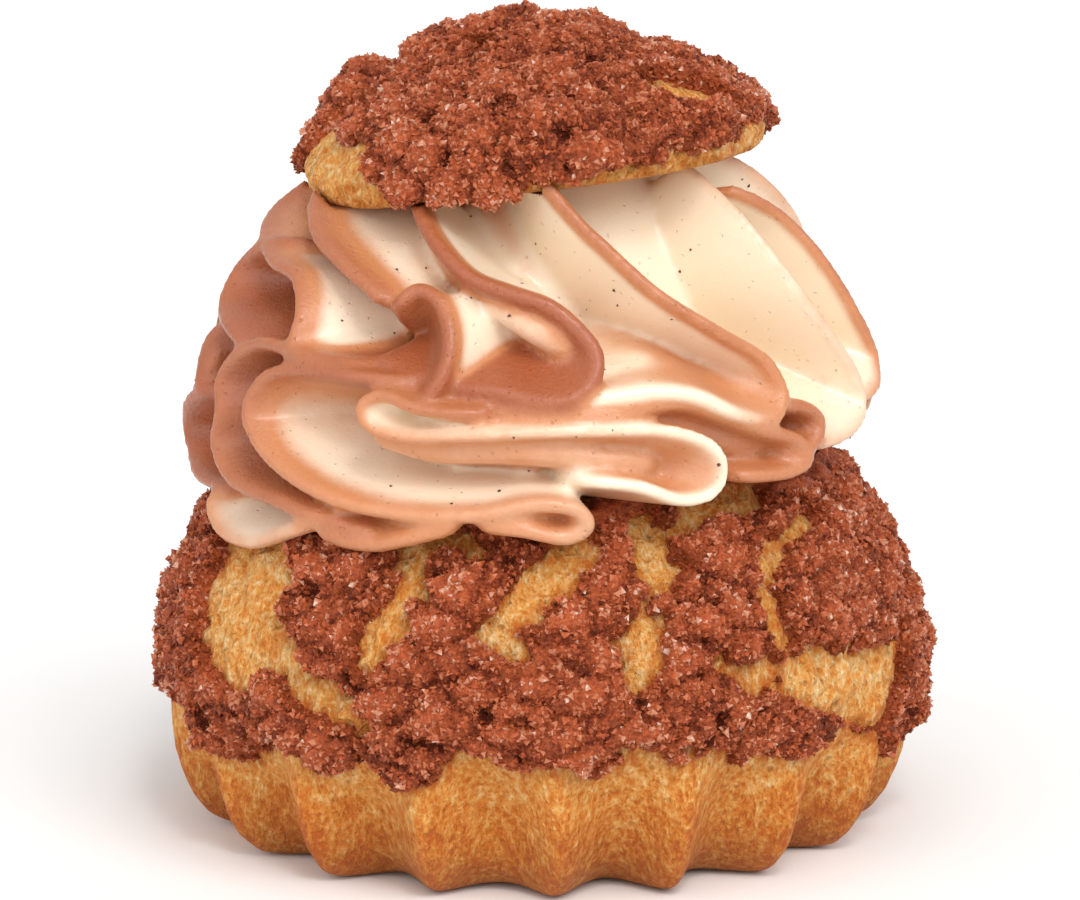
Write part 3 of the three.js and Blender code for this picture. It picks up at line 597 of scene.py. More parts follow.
def lid_droop(lid, turn):
    """How far the lid's rim hangs lower at a turn."""
    width = 22
    away = (turn - math.degrees(lid.droop_turn) + 180) % 360 - 180
    return lid.droop * np.exp(-(away / width) ** 2)


def lid_surface(lid, count):
    """Points of the lid's dome on a grid without a pole, with outward directions, turns and heights."""
    share, turn = disc_grid(count)
    samples, hung_up_to = 400, 6 * MM
    run, along = smooth_run(lid_outline(lid), samples)
    normal = side_normals(run[::-1])[::-1]
    places = share * along[-1]
    radius, height, out_radius, out_height = (
        np.interp(places, along, line) for line in (run[:, 0], run[:, 1], normal[:, 0], normal[:, 1]))
    hung = height - lid_droop(lid, turn) * smoothstep(hung_up_to, 0, height)
    return ring_place(turn, hung, radius), ring_place(turn, out_height, out_radius), turn, height


def lid_cover(lid, points, turn, height):
    """How far inside the lid's crust a point is, below 0 on bare choux."""
    strokes = strokes_on(LID_BARE, lambda high: np.interp(high, *lid_outline(lid)[::-1].T[::-1]))
    edge_turn, edge_height = np.array(LID_EDGE, float).T
    above = height - np.interp((turn + 180) % 360 - 180, edge_turn, edge_height * MM)
    inside = np.minimum(above.ravel(), bare_distance(points, strokes))
    return inside + uneven(points, (0.8, 2.8, 4.1), (0.5, 1.1, 9.7))


def spread_spots(spots, spacing, seed):
    """Numbers of spots that lie evenly spread, one for each cell of the given spacing."""
    order = np.random.default_rng(seed).permutation(len(spots))
    _, first = np.unique(np.floor(spots[order] / spacing).astype(int), axis=0, return_index=True)
    return np.sort(order[first])


def broken_grains(spots, out, seed, shape, sizes, proud):
    """Small many-faced grains set into a surface, each turned by chance: vertices and faces."""
    corners, shell = (np.array(part) for part in shape)
    chance = np.random.default_rng(seed)
    count = len(spots)
    size = chance.uniform(*np.multiply(sizes, MM), (count, 1))
    rough = corners[None] * chance.uniform(0.7, 1.2, (count, len(corners), 1))
    spin = chance.normal(size=(4, count))
    w, x, y, z = spin / np.linalg.norm(spin, axis=0)
    turned = np.stack([1 - 2 * (y * y + z * z), 2 * (x * y - z * w), 2 * (x * z + y * w),
                       2 * (x * y + z * w), 1 - 2 * (x * x + z * z), 2 * (y * z - x * w),
                       2 * (x * z - y * w), 2 * (y * z + x * w), 1 - 2 * (x * x + y * y)], 1).reshape(-1, 3, 3)
    centre = spots + out * size * chance.uniform(*proud, (count, 1))
    vertices = centre[:, None] + np.einsum("ijk,ilk->ijl", rough, turned) * size[:, None]
    faces = shell[None] + len(corners) * np.arange(count)[:, None, None]
    return vertices.reshape(-1, 3), faces.reshape(-1, 3)


def sugar_grains(crust, laid, out, crest, edge, seed):
    """Sugar grains packed over a laid crust, with how bright each of their corners is, which carries painted
    light, shade and glints, and how near its edge.
    """
    lowest, brightest, glint, glint_share = 0.12, 0.78, 0.42, 0.04
    chance = np.random.default_rng(seed + 1)
    parts, first = [], 0
    for spacing, shape, sizes, proud in GRAIN_KINDS:
        chosen = spread_spots(laid, getattr(crust, spacing), seed)
        chosen = chosen[crest[chosen] + chance.uniform(0, 0.3, len(chosen)) > lowest]
        grains, shells = broken_grains(laid[chosen], out[chosen], seed, shape, sizes, proud)
        each = np.repeat(np.arange(len(chosen)), len(shape[0]))
        own = crest[chosen] + chance.uniform(-0.2, 0.28, len(chosen))
        # Corners that stand farther out of the crust are lighter and lower ones darker: painted light on the
        # grains' tops and painted shade at their feet.
        raised = np.einsum("ij,ij->i", grains - laid[chosen][each], out[chosen][each]) / (0.4 * MM)
        # A few corners get painted glints that reach the sugar colour.
        glints = glint * (chance.random(len(grains)) > 1 - glint_share)
        level = np.clip(own[each] + 0.16 * raised, 0, brightest) + glints
        parts.append((grains, shells + first, level, edge[chosen][each]))
        first += len(grains)
    return [np.concatenate(part) for part in zip(*parts)]


def wall_spots(laid, out, inside, crest, edge, shape):
    """Places for grains: the points of a laid crust, and more on the steep steps between them."""
    steep_step, shares = 0.6 * MM, (0.33, 0.67)
    laid, out = (array.reshape(*shape, 3) for array in (laid, out))
    values = np.stack([array.reshape(shape) for array in (inside, crest, edge)], -1)
    spots, ways, kept = [laid.reshape(-1, 3)], [out.reshape(-1, 3)], [values.reshape(-1, 3)]
    for first, second in ((np.s_[:-1], np.s_[1:]), (np.s_[:, :-1], np.s_[:, 1:])):
        steep = np.linalg.norm(laid[second] - laid[first], axis=-1) > steep_step
        for share in shares:
            spots.append((laid[first] + share * (laid[second] - laid[first]))[steep])
            ways.append(out[first][steep])
            kept.append((values[first] + share * (values[second] - values[first]))[steep])
    return np.vstack(spots), np.vstack(ways), *np.vstack(kept).T


def add_crust(crust, names, node, points, out, inside, lumps, faces, seeds, place=np.asarray, top=math.inf):
    """Lays a crust on a surface and packs sugar grains on it up to a height, as two pieces in their place."""
    shade_under_grains, over_edge = 0.75, 0.2 * MM
    material = finish_of("sugar_crust", paint_crust, crust)
    laid, crest, edge = lay_crust(crust, points, out, inside, lumps, seeds[0])
    faces, used = keep_faces(faces, inside)
    # The shell under the grains is painted darker, as shade between the grains.
    add_piece(names[0], place(laid[used]), faces.tolist(), material, node, "craquelin",
              crest=shade_under_grains * crest[used], edge=edge[used])
    spots, ways, inside, crest, edge = wall_spots(laid, out, inside, crest, edge, points.shape[:2])
    grown = (inside > -over_edge) & (spots[:, 2] < top)
    vertices, faces, level, near = sugar_grains(
        crust, spots[grown], ways[grown], crest[grown], edge[grown], seeds[1])
    add_piece(names[1], place(vertices), faces.tolist(), material, node, "craquelin", smooth=False,
              crest=level, edge=near)


def closed_pot(side):
    """Rows of a side closed by a foot and a cut, each with two inner rings and a middle: vertices and faces."""
    foot, cut = side[0].mean(axis=0), side[-1].mean(axis=0)
    inner = np.array([0.35, 0.7])[:, None, None]
    grid = np.concatenate([foot + (side[0] - foot) * inner, side, cut + (side[-1] - cut) * inner[::-1]])
    rows, columns = grid.shape[:2]
    first = np.arange(columns)
    last = first + (rows - 1) * columns
    faces = quads(rows, columns, True).tolist()
    faces += np.stack([np.roll(first, -1), first, np.full(columns, rows * columns)], 1).tolist()
    faces += np.stack([last, np.roll(last, -1), np.full(columns, rows * columns + 1)], 1).tolist()
    return np.vstack([grid.reshape(-1, 3), foot, cut]), faces


# Shapes of the cream

def cream_reach(cream, height):
    """Outer reach of the folds at a height, in millimetres."""
    rise = (height - cream.waist / MM) / (cream.rise / MM)
    reach = cream.radius / MM
    above = reach * np.sqrt(np.clip(1 - np.clip(rise, 0, 1) ** cream.power, 0, 1))
    return np.where(rise < 0, reach - 0.05 * (cream.waist / MM - height) ** 2, above)


def all_folds():
    """The folds of the shown side and, seeded, those of the far side, browner towards the left."""
    folds = list(FOLDS)
    draw = seeded(FOLD_START)
    for rule in FAR_SETS:
        for i in range(rule["count"]):
            turn_by = rule["first"] + rule["step"] * (i + 0.4 * (next(draw) - 0.5))
            rise = 2 * (next(draw) - 0.5)
            out_by = -1.5 * next(draw) + (rule["first_out"] if i == 0 else 0)
            brown = 0.5 - 0.5 * math.sin(math.radians(turn_by + 10))
            folds.append(dict(
                edge=[(turn + turn_by, height + rise, out + out_by) for turn, height, out in rule["edge"]],
                gather=[(turn + turn_by, height + rise, radius) for turn, height, radius in rule["gather"]],
                root=rule["root"], band=rule["band"], rim=(0.4 + 0.5 * brown, 0.3 + 0.5 * brown),
                left=(0.05 + 0.85 * brown, 0.3 + 0.6 * brown), right=(0.02 + 0.75 * brown, 0.1 + 0.75 * brown)))
    return folds


def fold_sheet(cream, edge, gather, rim, left, right, band=2.4, root=2.5, lip=None):
    """A thick sheet from its rounded edge in to where it gathers: points, faces, tones and directions."""
    tip_share, pinch_share, swell = 0.25, 0.06, 1.5
    tuck, tuck_depth, depth_share = 4.0, 0.55, 0.95
    turn, height, out = np.array(edge, float).T
    line, along = smooth_run(ring_place(turn, height, cream_reach(cream, height) + out), FOLD_STEP)
    share = (along / along[-1])[:, None]
    first, last = ring_place(*gather[0]), ring_place(*gather[-1])
    focus = first + (last - first) * smoothstep(0, 1, share)
    end = np.minimum(along, along[-1] - along)[:, None]
    line = line + (focus - line) * tuck_depth * (1 - np.clip(end / tuck, 0, 1)) ** 2
    inward = focus - line
    reach = np.linalg.norm(inward, axis=1, keepdims=True)
    inward = inward / reach
    side = np.cross(np.gradient(line, axis=0), inward)
    side /= np.linalg.norm(side, axis=1, keepdims=True)
    around = np.linspace(0, 2, FOLD_SECTION, endpoint=False)
    sign = np.where(around < 1, 1.0, -1.0)
    inside = np.where(around < 1, around, 2 - around)
    half = lip or cream.edge / MM
    bow = np.clip(inside / tip_share, 0, 1) * math.pi / 2
    flank = np.clip((inside - tip_share) / (1 - tip_share), 0, 1) ** swell
    depth = half * (1 - np.cos(bow)) + (depth_share * reach - half) * flank
    pinch = np.clip((1 - inside) / pinch_share, 0, 1)
    wide = np.where(flank > 0, (half + (root - half) * flank) * pinch, half * np.sin(bow)) * sign
    points = line[:, None] + inward[:, None] * depth[..., None] + side[:, None] * wide[:, None]
    near_rim = 1 - smoothstep(0.25 * band, 1.5 * band, depth)
    tone_rim, tone_left, tone_right = (
        np.interp(share, np.linspace(0, 1, len(run)), run) for run in (rim, left, right))
    tone = np.where(sign > 0, tone_right, tone_left)
    tone = tone + (tone_rim - tone) * near_rim
    facing = np.cross(np.roll(points, -1, 1) - np.roll(points, 1, 1), np.gradient(points, axis=0))
    facing *= np.sign(np.einsum("ijk,ijk->", points - points.mean(axis=1, keepdims=True), facing))
    facing /= np.linalg.norm(facing, axis=2, keepdims=True) + 1e-9
    flat = points.reshape(-1, 3)
    faces = capped_quads(len(line), FOLD_SECTION)
    a, b, c, _ = np.array(faces[:-2]).T
    turned = np.cross(flat[b] - flat[a], flat[c] - flat[a])
    if np.einsum("ij,ij->", flat[a] - flat.mean(axis=0), turned) < 0:
        faces = [face[::-1] for face in faces]
    return flat, faces, tone.ravel(), facing.reshape(-1, 3)


def cream_core(cream):
    """The middle of the swirl, which the folds grow out of, as fold_sheet gives a fold."""
    columns, heights = 64, np.linspace(37, 66, 18)
    turn = np.arange(columns) * 360 / columns
    ring = ring_place(turn, heights[:, None], cream.core * cream_reach(cream, heights)[:, None])
    tone = np.broadcast_to(np.clip(0.25 - 0.6 * np.sin(np.radians(turn)), 0, 1), (len(heights), columns))
    facing = np.broadcast_to(ring_place(turn, 0.0, 1.0), ring.shape)
    return ring.reshape(-1, 3), capped_quads(len(heights), columns), tone.ravel(), facing.reshape(-1, 3)


def join_folds(cream):
    """All folds joined into one smooth mesh, and the points, tones and directions that they had."""
    vertices, faces, tones, facing, count = [], [], [], [], 0
    sheets = [cream_core(cream)] + [fold_sheet(cream, **fold) for fold in all_folds()]
    for flat, sheet_faces, tone, looks in sheets:
        vertices.append(flat * MM)
        faces += [[corner + count for corner in face] for face in sheet_faces]
        tones.append(tone)
        facing.append(looks)
        count += len(flat)
    vertices, tones, facing = np.vstack(vertices), np.concatenate(tones), np.vstack(facing)
    rough = bpy.data.meshes.new("cream_folds")
    rough.from_pydata(vertices.tolist(), [], faces)
    holder = bpy.data.objects.new("cream_folds", rough)
    bpy.context.scene.collection.objects.link(holder)
    join = holder.modifiers.new("join", "REMESH")
    join.mode = "VOXEL"
    join.voxel_size = cream.voxel
    soften = holder.modifiers.new("soften", "SMOOTH")
    soften.factor = 0.5
    soften.iterations = 5
    return baked_mesh(holder), vertices, tones, facing


def baked_mesh(holder):
    """The mesh that an object's modifiers make. The object goes."""
    graph = bpy.context.evaluated_depsgraph_get()
    mesh = bpy.data.meshes.new_from_object(holder.evaluated_get(graph))
    rough = holder.data
    bpy.data.objects.remove(holder)
    bpy.data.meshes.remove(rough)
    return mesh


def edge_ends(mesh):
    """Numbers of the first and second vertex of each edge."""
    ends = np.empty(2 * len(mesh.edges), np.int64)
    mesh.edges.foreach_get("vertices", ends)
    return ends.reshape(-1, 2).T


def thin_even(mesh, tone, keep):
    """The mesh with its tone stored, and with fewer faces where the tone is even."""
    even_within = 0.02
    mesh.attributes.new("chocolate", "FLOAT", "POINT").data.foreach_set("value", tone.astype(np.float32))
    a, b = edge_ends(mesh)
    most = np.zeros(len(tone))
    for ends in (a, b):
        np.maximum.at(most, ends, np.abs(tone[a] - tone[b]))
    holder = bpy.data.objects.new("cream_even", mesh)
    bpy.context.scene.collection.objects.link(holder)
    holder.vertex_groups.new(name="even").add(np.flatnonzero(most < even_within).tolist(), 1.0, "REPLACE")
    thin = holder.modifiers.new("thin", "DECIMATE")
    thin.ratio = keep
    thin.vertex_group = "even"
    return baked_mesh(holder)


def spread_tones(mesh, vertices, tones, facing):
    """Tones for the joined mesh, from the nearest folds that face the same way, softened up to creases."""
    buried, neighbours, blur, least_alike = 0.45 * MM, 12, 0.4 * MM, 0.05
    surface = BVHTree.FromPolygons([v.co for v in mesh.vertices], [p.vertices for p in mesh.polygons])
    shown = [i for i, spot in enumerate(vertices.tolist()) if surface.find_nearest(spot, buried)[0] is not None]
    tree = kdtree.KDTree(len(shown))
    for i in shown:
        tree.insert(vertices[i], i)
    tree.balance()
    found = [tree.find_n(vertex.co, neighbours) for vertex in mesh.vertices]
    near = np.array([[k for _, k, _ in row] for row in found])
    away = np.array([[distance for _, _, distance in row] for row in found])
    out = np.array([vertex.normal for vertex in mesh.vertices])
    alike = np.clip(np.einsum("ik,ijk->ij", out, facing[near]), least_alike, 1)
    weight = (alike / (away + blur)) ** 2
    result = (weight * tones[near]).sum(axis=1) / weight.sum(axis=1)
    a, b = edge_ends(mesh)
    up_to_creases = 0.04 + smoothstep(0.75, 0.97, np.einsum("ij,ij->i", out[a], out[b]))
    everywhere = np.ones(len(a))
    for pull in 6 * [up_to_creases] + 2 * [everywhere]:
        whole = np.bincount(a, pull, len(result)) + np.bincount(b, pull, len(result))
        total = np.bincount(a, pull * result[b], len(result)) + np.bincount(b, pull * result[a], len(result))
        result = 0.4 * result + 0.6 * total / whole
    return result


# Materials

def fill(tree, node, inputs):
    """Puts numbers, colours or links on a node's inputs."""
    for key, value in inputs.items():
        if isinstance(value, bpy.types.NodeSocket):
            tree.links.new(value, node.inputs[key])
        else:
            node.inputs[key].default_value = value


def add_node(tree, kind, inputs=None, **settings):
    """A node with its settings, and with numbers, colours or links on its inputs."""
    node = tree.nodes.new(kind)
    for key, value in settings.items():
        setattr(node, key, value)
    fill(tree, node, inputs or {})
    return node


def mix(tree, share, low, high, mode="MIX"):
    """Two colours mixed by a share."""
    inputs = {0: share, 6: low, 7: high}
    return add_node(tree, "ShaderNodeMix", inputs, data_type="RGBA", blend_type=mode).outputs[2]


def maths(tree, operation, *values, clamp=False):
    """The outcome of a sum with up to three values."""
    inputs = dict(enumerate(values))
    return add_node(tree, "ShaderNodeMath", inputs, operation=operation, use_clamp=clamp).outputs[0]


def product(tree, value, *others):
    """All values multiplied."""
    for other in others:
        value = maths(tree, "MULTIPLY", value, other)
    return value


def sway(tree, level, value, weight, clamp=False):
    """A level moved up and down by a value from 0 to 1."""
    return maths(tree, "ADD", level, product(tree, maths(tree, "SUBTRACT", value, 0.5), weight), clamp=clamp)


def ramp(tree, level, *stops, ease="LINEAR"):
    """Colours that run into each other along a level, from stops of place and colour."""
    node = add_node(tree, "ShaderNodeValToRGB", {"Fac": level})
    node.color_ramp.interpolation = ease
    points = node.color_ramp.elements
    for point, (place, colour) in ((points[0], stops[0]), (points[1], stops[-1])):
        point.position, point.color = place, colour
    for place, colour in stops[1:-1]:
        points.new(place).color = colour
    return node.outputs["Color"]


def bump(tree, height, distance):
    """Normals for a height from 0 to 1, as deep as the distance."""
    return add_node(tree, "ShaderNodeBump", {"Height": height, "Distance": distance}).outputs[0]


def attribute(tree, name):
    """A number that a piece holds for each vertex."""
    return add_node(tree, "ShaderNodeAttribute", attribute_name=name).outputs["Fac"]


def node_group(name, inputs, output):
    """A new node group with inputs and their defaults, and one output: the group and its two ends."""
    group = bpy.data.node_groups.new(name, "ShaderNodeTree")
    for label, default in inputs.items():
        kind = "NodeSocketFloat" if isinstance(default, float) else "NodeSocketVector"
        group.interface.new_socket(label, in_out="INPUT", socket_type=kind).default_value = default
    group.interface.new_socket(output, in_out="OUTPUT", socket_type="NodeSocketFloat")
    return group, add_node(group, "NodeGroupInput").outputs, add_node(group, "NodeGroupOutput")


def mottle_group(name):
    """Soft blotches from 0 to 1, drawn out into fibres along an axis that is stretched."""
    group, given, result = node_group(
        name, {"Scale": 300.0, "Contrast": 2.0, "Stretch": (1.0, 1.0, 1.0)}, "Value")
    place = add_node(group, "ShaderNodeTexCoord").outputs["Object"]
    drawn = add_node(group, "ShaderNodeVectorMath", {0: place, 1: given["Stretch"]}, operation="MULTIPLY")
    blotch = add_node(group, "ShaderNodeTexNoise", {
        "Vector": drawn.outputs[0], "Scale": given["Scale"], "Detail": 4.0, "Roughness": 0.65})
    centred = maths(group, "SUBTRACT", blotch.outputs["Fac"], 0.5)
    fill(group, result, {"Value": maths(group, "MULTIPLY_ADD", centred, given["Contrast"], 0.5, clamp=True)})
    return group


def pores_group(name):
    """Small round pits: 1 in a pit, 0 between pits."""
    group, given, result = node_group(name, {"Scale": 900.0, "Size": 0.3}, "Mask")
    place = add_node(group, "ShaderNodeTexCoord").outputs["Object"]
    bend = add_node(group, "ShaderNodeTexNoise", {"Vector": place, "Scale": given["Scale"], "Detail": 2.0})
    moved = add_node(group, "ShaderNodeVectorMath", {0: bend.outputs["Color"], 1: 3 * (0.8 * MM,), 2: place},
                     operation="MULTIPLY_ADD")
    cells = add_node(group, "ShaderNodeTexVoronoi", {"Vector": moved.outputs[0], "Scale": given["Scale"]})
    edge = add_node(group, "ShaderNodeMapRange", {
        "Value": cells.outputs["Distance"], "From Min": given["Size"], "From Max": 0.04},
        interpolation_type="SMOOTHSTEP")
    fill(group, result, {"Mask": edge.outputs[0]})
    return group


EFFECTS = {"Soft mottle": mottle_group, "Fine pores": pores_group}


def effect(tree, name, **inputs):
    """The output of a shared node group, which is built the first time that it is used."""
    group = bpy.data.node_groups.get(name) or EFFECTS[name](name)
    return add_node(tree, "ShaderNodeGroup", inputs, node_tree=group).outputs[0]


def finish_of(name, paint, settings):
    """The material of a finish, which is painted the first time that it is used."""
    material = bpy.data.materials.get(name)
    if material is None:
        material = bpy.data.materials.new(name)
        material.use_nodes = True
        paint(material.node_tree, material.node_tree.nodes["Principled BSDF"], settings)
    return material


def paint_choux(tree, shader, choux):
    """Golden choux with a fibrous crumb, paler under the crust, toasted beside it, darker towards the foot and
    with painted shade in its pores.
    """
    blotch = effect(tree, "Soft mottle", Scale=330.0, Contrast=2.2)
    fibre = effect(tree, "Soft mottle", Scale=1250.0, Contrast=3.4, Stretch=(1.0, 1.0, 0.4))
    fine = effect(tree, "Soft mottle", Scale=2300.0, Contrast=3.6, Stretch=(1.0, 1.0, 0.65))
    pores = effect(tree, "Fine pores", Scale=640.0, Size=0.3)
    specks = effect(tree, "Fine pores", Scale=1100.0, Size=0.24)
    pale = level = attribute(tree, "pale")
    for value, weight in ((blotch, 0.34), (fibre, 0.42), (fine, 0.48)):
        level = sway(tree, level, value, weight)
    colour = ramp(tree, level, (0.05, choux.toasted), (0.36, choux.golden), (0.68, choux.light),
                  (0.98, choux.pale))
    fibrous = maths(tree, "SUBTRACT", 1.25, fibre)
    toast = maths(tree, "MULTIPLY", attribute(tree, "toasted"), fibrous, clamp=True)
    colour = mix(tree, toast, colour, choux.toasted)
    # Darker towards the foot.
    colour = mix(tree, attribute(tree, "browned"), colour, choux.brown)
    # Painted shade in the pores: pits, sunk by the bump, and finer dashes are darkened to brown.
    pits = product(tree, pores, blotch, pale)
    colour = mix(tree, maths(tree, "MULTIPLY", pits, 1.3, clamp=True), colour, choux.brown)
    colour = mix(tree, product(tree, specks, fibre, 0.8), colour, choux.brown)
    height = maths(tree, "ADD", product(tree, fibre, 0.6), product(tree, fine, 0.4))
    height = maths(tree, "SUBTRACT", height, product(tree, pits, 0.6))
    fill(tree, shader, {"Base Color": colour, "Roughness": 0.58, "Specular IOR Level": 0.35,
                        "Normal": bump(tree, height, 0.45 * MM)})


def paint_crust(tree, shader, crust):
    """Grainy baked sugar crust, with painted shade in its creases and painted glints on some of its grains."""
    blotch = effect(tree, "Soft mottle", Scale=260.0, Contrast=2.0)
    fine = effect(tree, "Soft mottle", Scale=2600.0, Contrast=2.6)
    # The crest level gives painted shade in creases, pits and under the grains, and painted light on tops, up
    # to painted glints in the sugar colour.
    level = sway(tree, attribute(tree, "crest"), fine, 0.3, clamp=True)
    colour = ramp(tree, level, (0.1, crust.dark), (0.45, crust.middle), (0.75, crust.bright),
                  (1.0, crust.sugar))
    colour = mix(tree, product(tree, blotch, 0.14), colour, crust.dark)
    melted = maths(tree, "MULTIPLY", attribute(tree, "edge"), maths(tree, "SUBTRACT", 0.5, level), clamp=True)
    colour = mix(tree, melted, colour, crust.amber)
    fill(tree, shader, {"Base Color": colour, "Roughness": 0.24, "Specular IOR Level": 0.3,
                        "Normal": bump(tree, fine, 0.2 * MM)})


def paint_cream(tree, shader, cream):
    """Smooth whipped cream, from vanilla through a blend to chocolate."""
    blotch = effect(tree, "Soft mottle", Scale=190.0, Contrast=1.2)
    fine = effect(tree, "Soft mottle", Scale=2200.0, Contrast=1.6)
    bubbles = effect(tree, "Fine pores", Scale=900.0, Size=0.16)
    tone = sway(tree, attribute(tree, "chocolate"), blotch, 0.16, clamp=True)
    colour = ramp(tree, tone, (0.08, cream.vanilla), (0.5, cream.blend), (0.95, cream.chocolate), ease="EASE")
    colour = mix(tree, product(tree, fine, tone, 0.26), colour, cream.chocolate, "MULTIPLY")
    height = product(tree, fine, maths(tree, "MULTIPLY_ADD", tone, 0.9, 0.2))
    height = maths(tree, "SUBTRACT", height, bubbles)
    fill(tree, shader, {"Base Color": colour, "Roughness": 0.34, "Coat Weight": 0.25, "Coat Roughness": 0.16,
                        "Subsurface Weight": 0.18, "Subsurface Radius": (1.2 * MM, 0.7 * MM, 0.4 * MM),
                        "Subsurface Scale": 1.0, "Normal": bump(tree, height, 0.1 * MM)})


def paint_seed(tree, shader, cream):
    """Nearly black vanilla seeds."""
    blotch = effect(tree, "Soft mottle", Scale=2500.0, Contrast=2.0)
    colour = mix(tree, product(tree, blotch, 0.4), cream.seed, cream.chocolate)
    fill(tree, shader, {"Base Color": colour, "Roughness": 0.4})


def paint_floor(tree, shader, stage):
    """Matt pale floor with the faintest blotches."""
    blotch = effect(tree, "Soft mottle", Scale=6.0, Contrast=1.0)
    colour = mix(tree, product(tree, blotch, 0.03), stage.floor, shade(225, 224, 222))
    fill(tree, shader, {"Base Color": colour, "Roughness": 0.9, "Specular IOR Level": 0.1})


# Operators

class PUFF_OT_base_choux(Operator):
    """Make the fluted choux base under its crust"""
    bl_idname = "puff.base_choux"
    bl_label = "Choux Base"

    def execute(self, context):
        choux, crust = context.scene.puff_choux, context.scene.puff_crust
        run, _ = smooth_run(base_outline(choux), BASE_ROWS)
        points, out, turn, height, share = base_surface(choux, run, choux.flutes * FLUTE_COLUMNS)
        inside = base_cover(choux, crust, points, turn, height).reshape(turn.shape)
        below = crust_edge(crust, turn) - height
        crumb = smoothstep(1 * MM, -0.5 * MM, inside) * smoothstep(2 * MM, -1 * MM, below)
        points = points + out * (self.sponge(points, crumb) * smoothstep(0, 1.5 * MM, height))[..., None]
        ridge = np.abs(share - 0.5) * 2
        low = smoothstep(11 * MM, 0.5 * MM, height)
        edge = smoothstep(-1.6 * MM, -0.2 * MM, inside)
        # The choux is darker towards the foot, less so on the ridges.
        pale = 0.43 + 0.2 * crumb - 0.14 * low - 0.12 * smoothstep(0.7, 1, ridge) * (1 - crumb)
        pale += 0.14 * smoothstep(7 * MM, 1 * MM, np.abs(below)) * (1 - crumb)
        browned = 0.5 * low * (1 - 0.4 * smoothstep(0.6, 1, ridge))
        rings = dict(pale=(pale, 0.5), browned=(browned, 0.5), toasted=(0.75 * edge, 0.2))
        vertices, faces = closed_pot(points)
        values = {key: np.append(np.pad(value, ((2, 2), (0, 0)), "edge").ravel(), (middle, middle))
                  for key, (value, middle) in rings.items()}
        add_piece("base_choux", vertices, faces, finish_of("baked_choux", paint_choux, choux), "choux_base",
                  "choux", **values)
        return {"FINISHED"}

    def sponge(self, points, crumb):
        """Uneven skin, rougher and pitted where the crumb is open."""
        skin = uneven(points, (0.3, 6, 2.2), (0.12, 1.5, 5.5))
        rough = uneven(points, (0.5, 3, 4.4), (0.34, 1.3, 6.6)) - open_pits(points, 0.45, 1.9, 8.8)
        return (skin + rough * crumb.ravel()).reshape(crumb.shape)


class PUFF_OT_base_crust(Operator):
    """Lay the cracked sugar crust and its grains on the base"""
    bl_idname = "puff.base_crust"
    bl_label = "Base Crust"

    def execute(self, context):
        choux, crust = context.scene.puff_choux, context.scene.puff_crust
        samples, every, lowest, below_cut = 600, 12, 7 * MM, 0.5 * MM
        run, _ = smooth_run(base_outline(choux), samples)
        run = run[(run[:, 1] > lowest) & (run[:, 1] < choux.cut_height - below_cut)]
        run, _ = smooth_run(run[::every], CRUST_STEP * MM)
        points, out, turn, height, _ = base_surface(choux, run, CRUST_COLUMNS)
        inside = base_cover(choux, crust, points, turn, height)
        add_crust(crust, ("base_craquelin", "base_grains"), "choux_base", points, out, inside, 0,
                  quads(len(run), CRUST_COLUMNS, True), BASE_STARTS, top=GRAIN_TOP * MM)
        return {"FINISHED"}


class PUFF_OT_lid_choux(Operator):
    """Make the choux of the lid"""
    bl_idname = "puff.lid_choux"
    bl_label = "Choux Lid"

    def execute(self, context):
        choux, lid = context.scene.puff_choux, context.scene.puff_lid
        inner_ring = (0.75, 0.75, 0)
        points, out, turn, height = lid_surface(lid, LID_GRID)
        flat, high = points.reshape(-1, 3), height.ravel()
        rough = uneven(flat, (0.45, 4, 6.1), (0.3, 1.3, 1.7)) - open_pits(flat, 0.5, 1.7, 3.9)
        flat = flat + out.reshape(-1, 3) * (rough * smoothstep(0, 0.5 * MM, high))[:, None]
        grid = np.arange(LID_GRID ** 2).reshape(LID_GRID, LID_GRID)
        rim = np.concatenate([grid[0, :-1], grid[:-1, -1], grid[-1, :0:-1], grid[:0:-1, 0]])
        inner = LID_GRID ** 2 + np.arange(len(rim))
        faces = quads(LID_GRID, LID_GRID, False).tolist() + [inner[::-1].tolist()]
        faces += np.stack([np.roll(rim, -1), rim, inner, np.roll(inner, -1)], 1).tolist()
        flat = np.vstack([flat, flat[rim] * inner_ring])
        high = np.append(high, np.zeros(len(rim)))
        edge = smoothstep(-1.6 * MM, -0.2 * MM, lid_cover(lid, points, turn, height))
        # The lid is darker in its lowest millimetres, by its cut face.
        add_piece("lid_choux", to_lid(lid, flat), faces, finish_of("baked_choux", paint_choux, choux),
                  "choux_lid", "choux", pale=0.62 - 0.16 * smoothstep(1.5 * MM, 0, high),
                  browned=0.2 * smoothstep(1 * MM, 0, high), toasted=np.append(0.4 * edge, np.zeros(len(rim))))
        return {"FINISHED"}


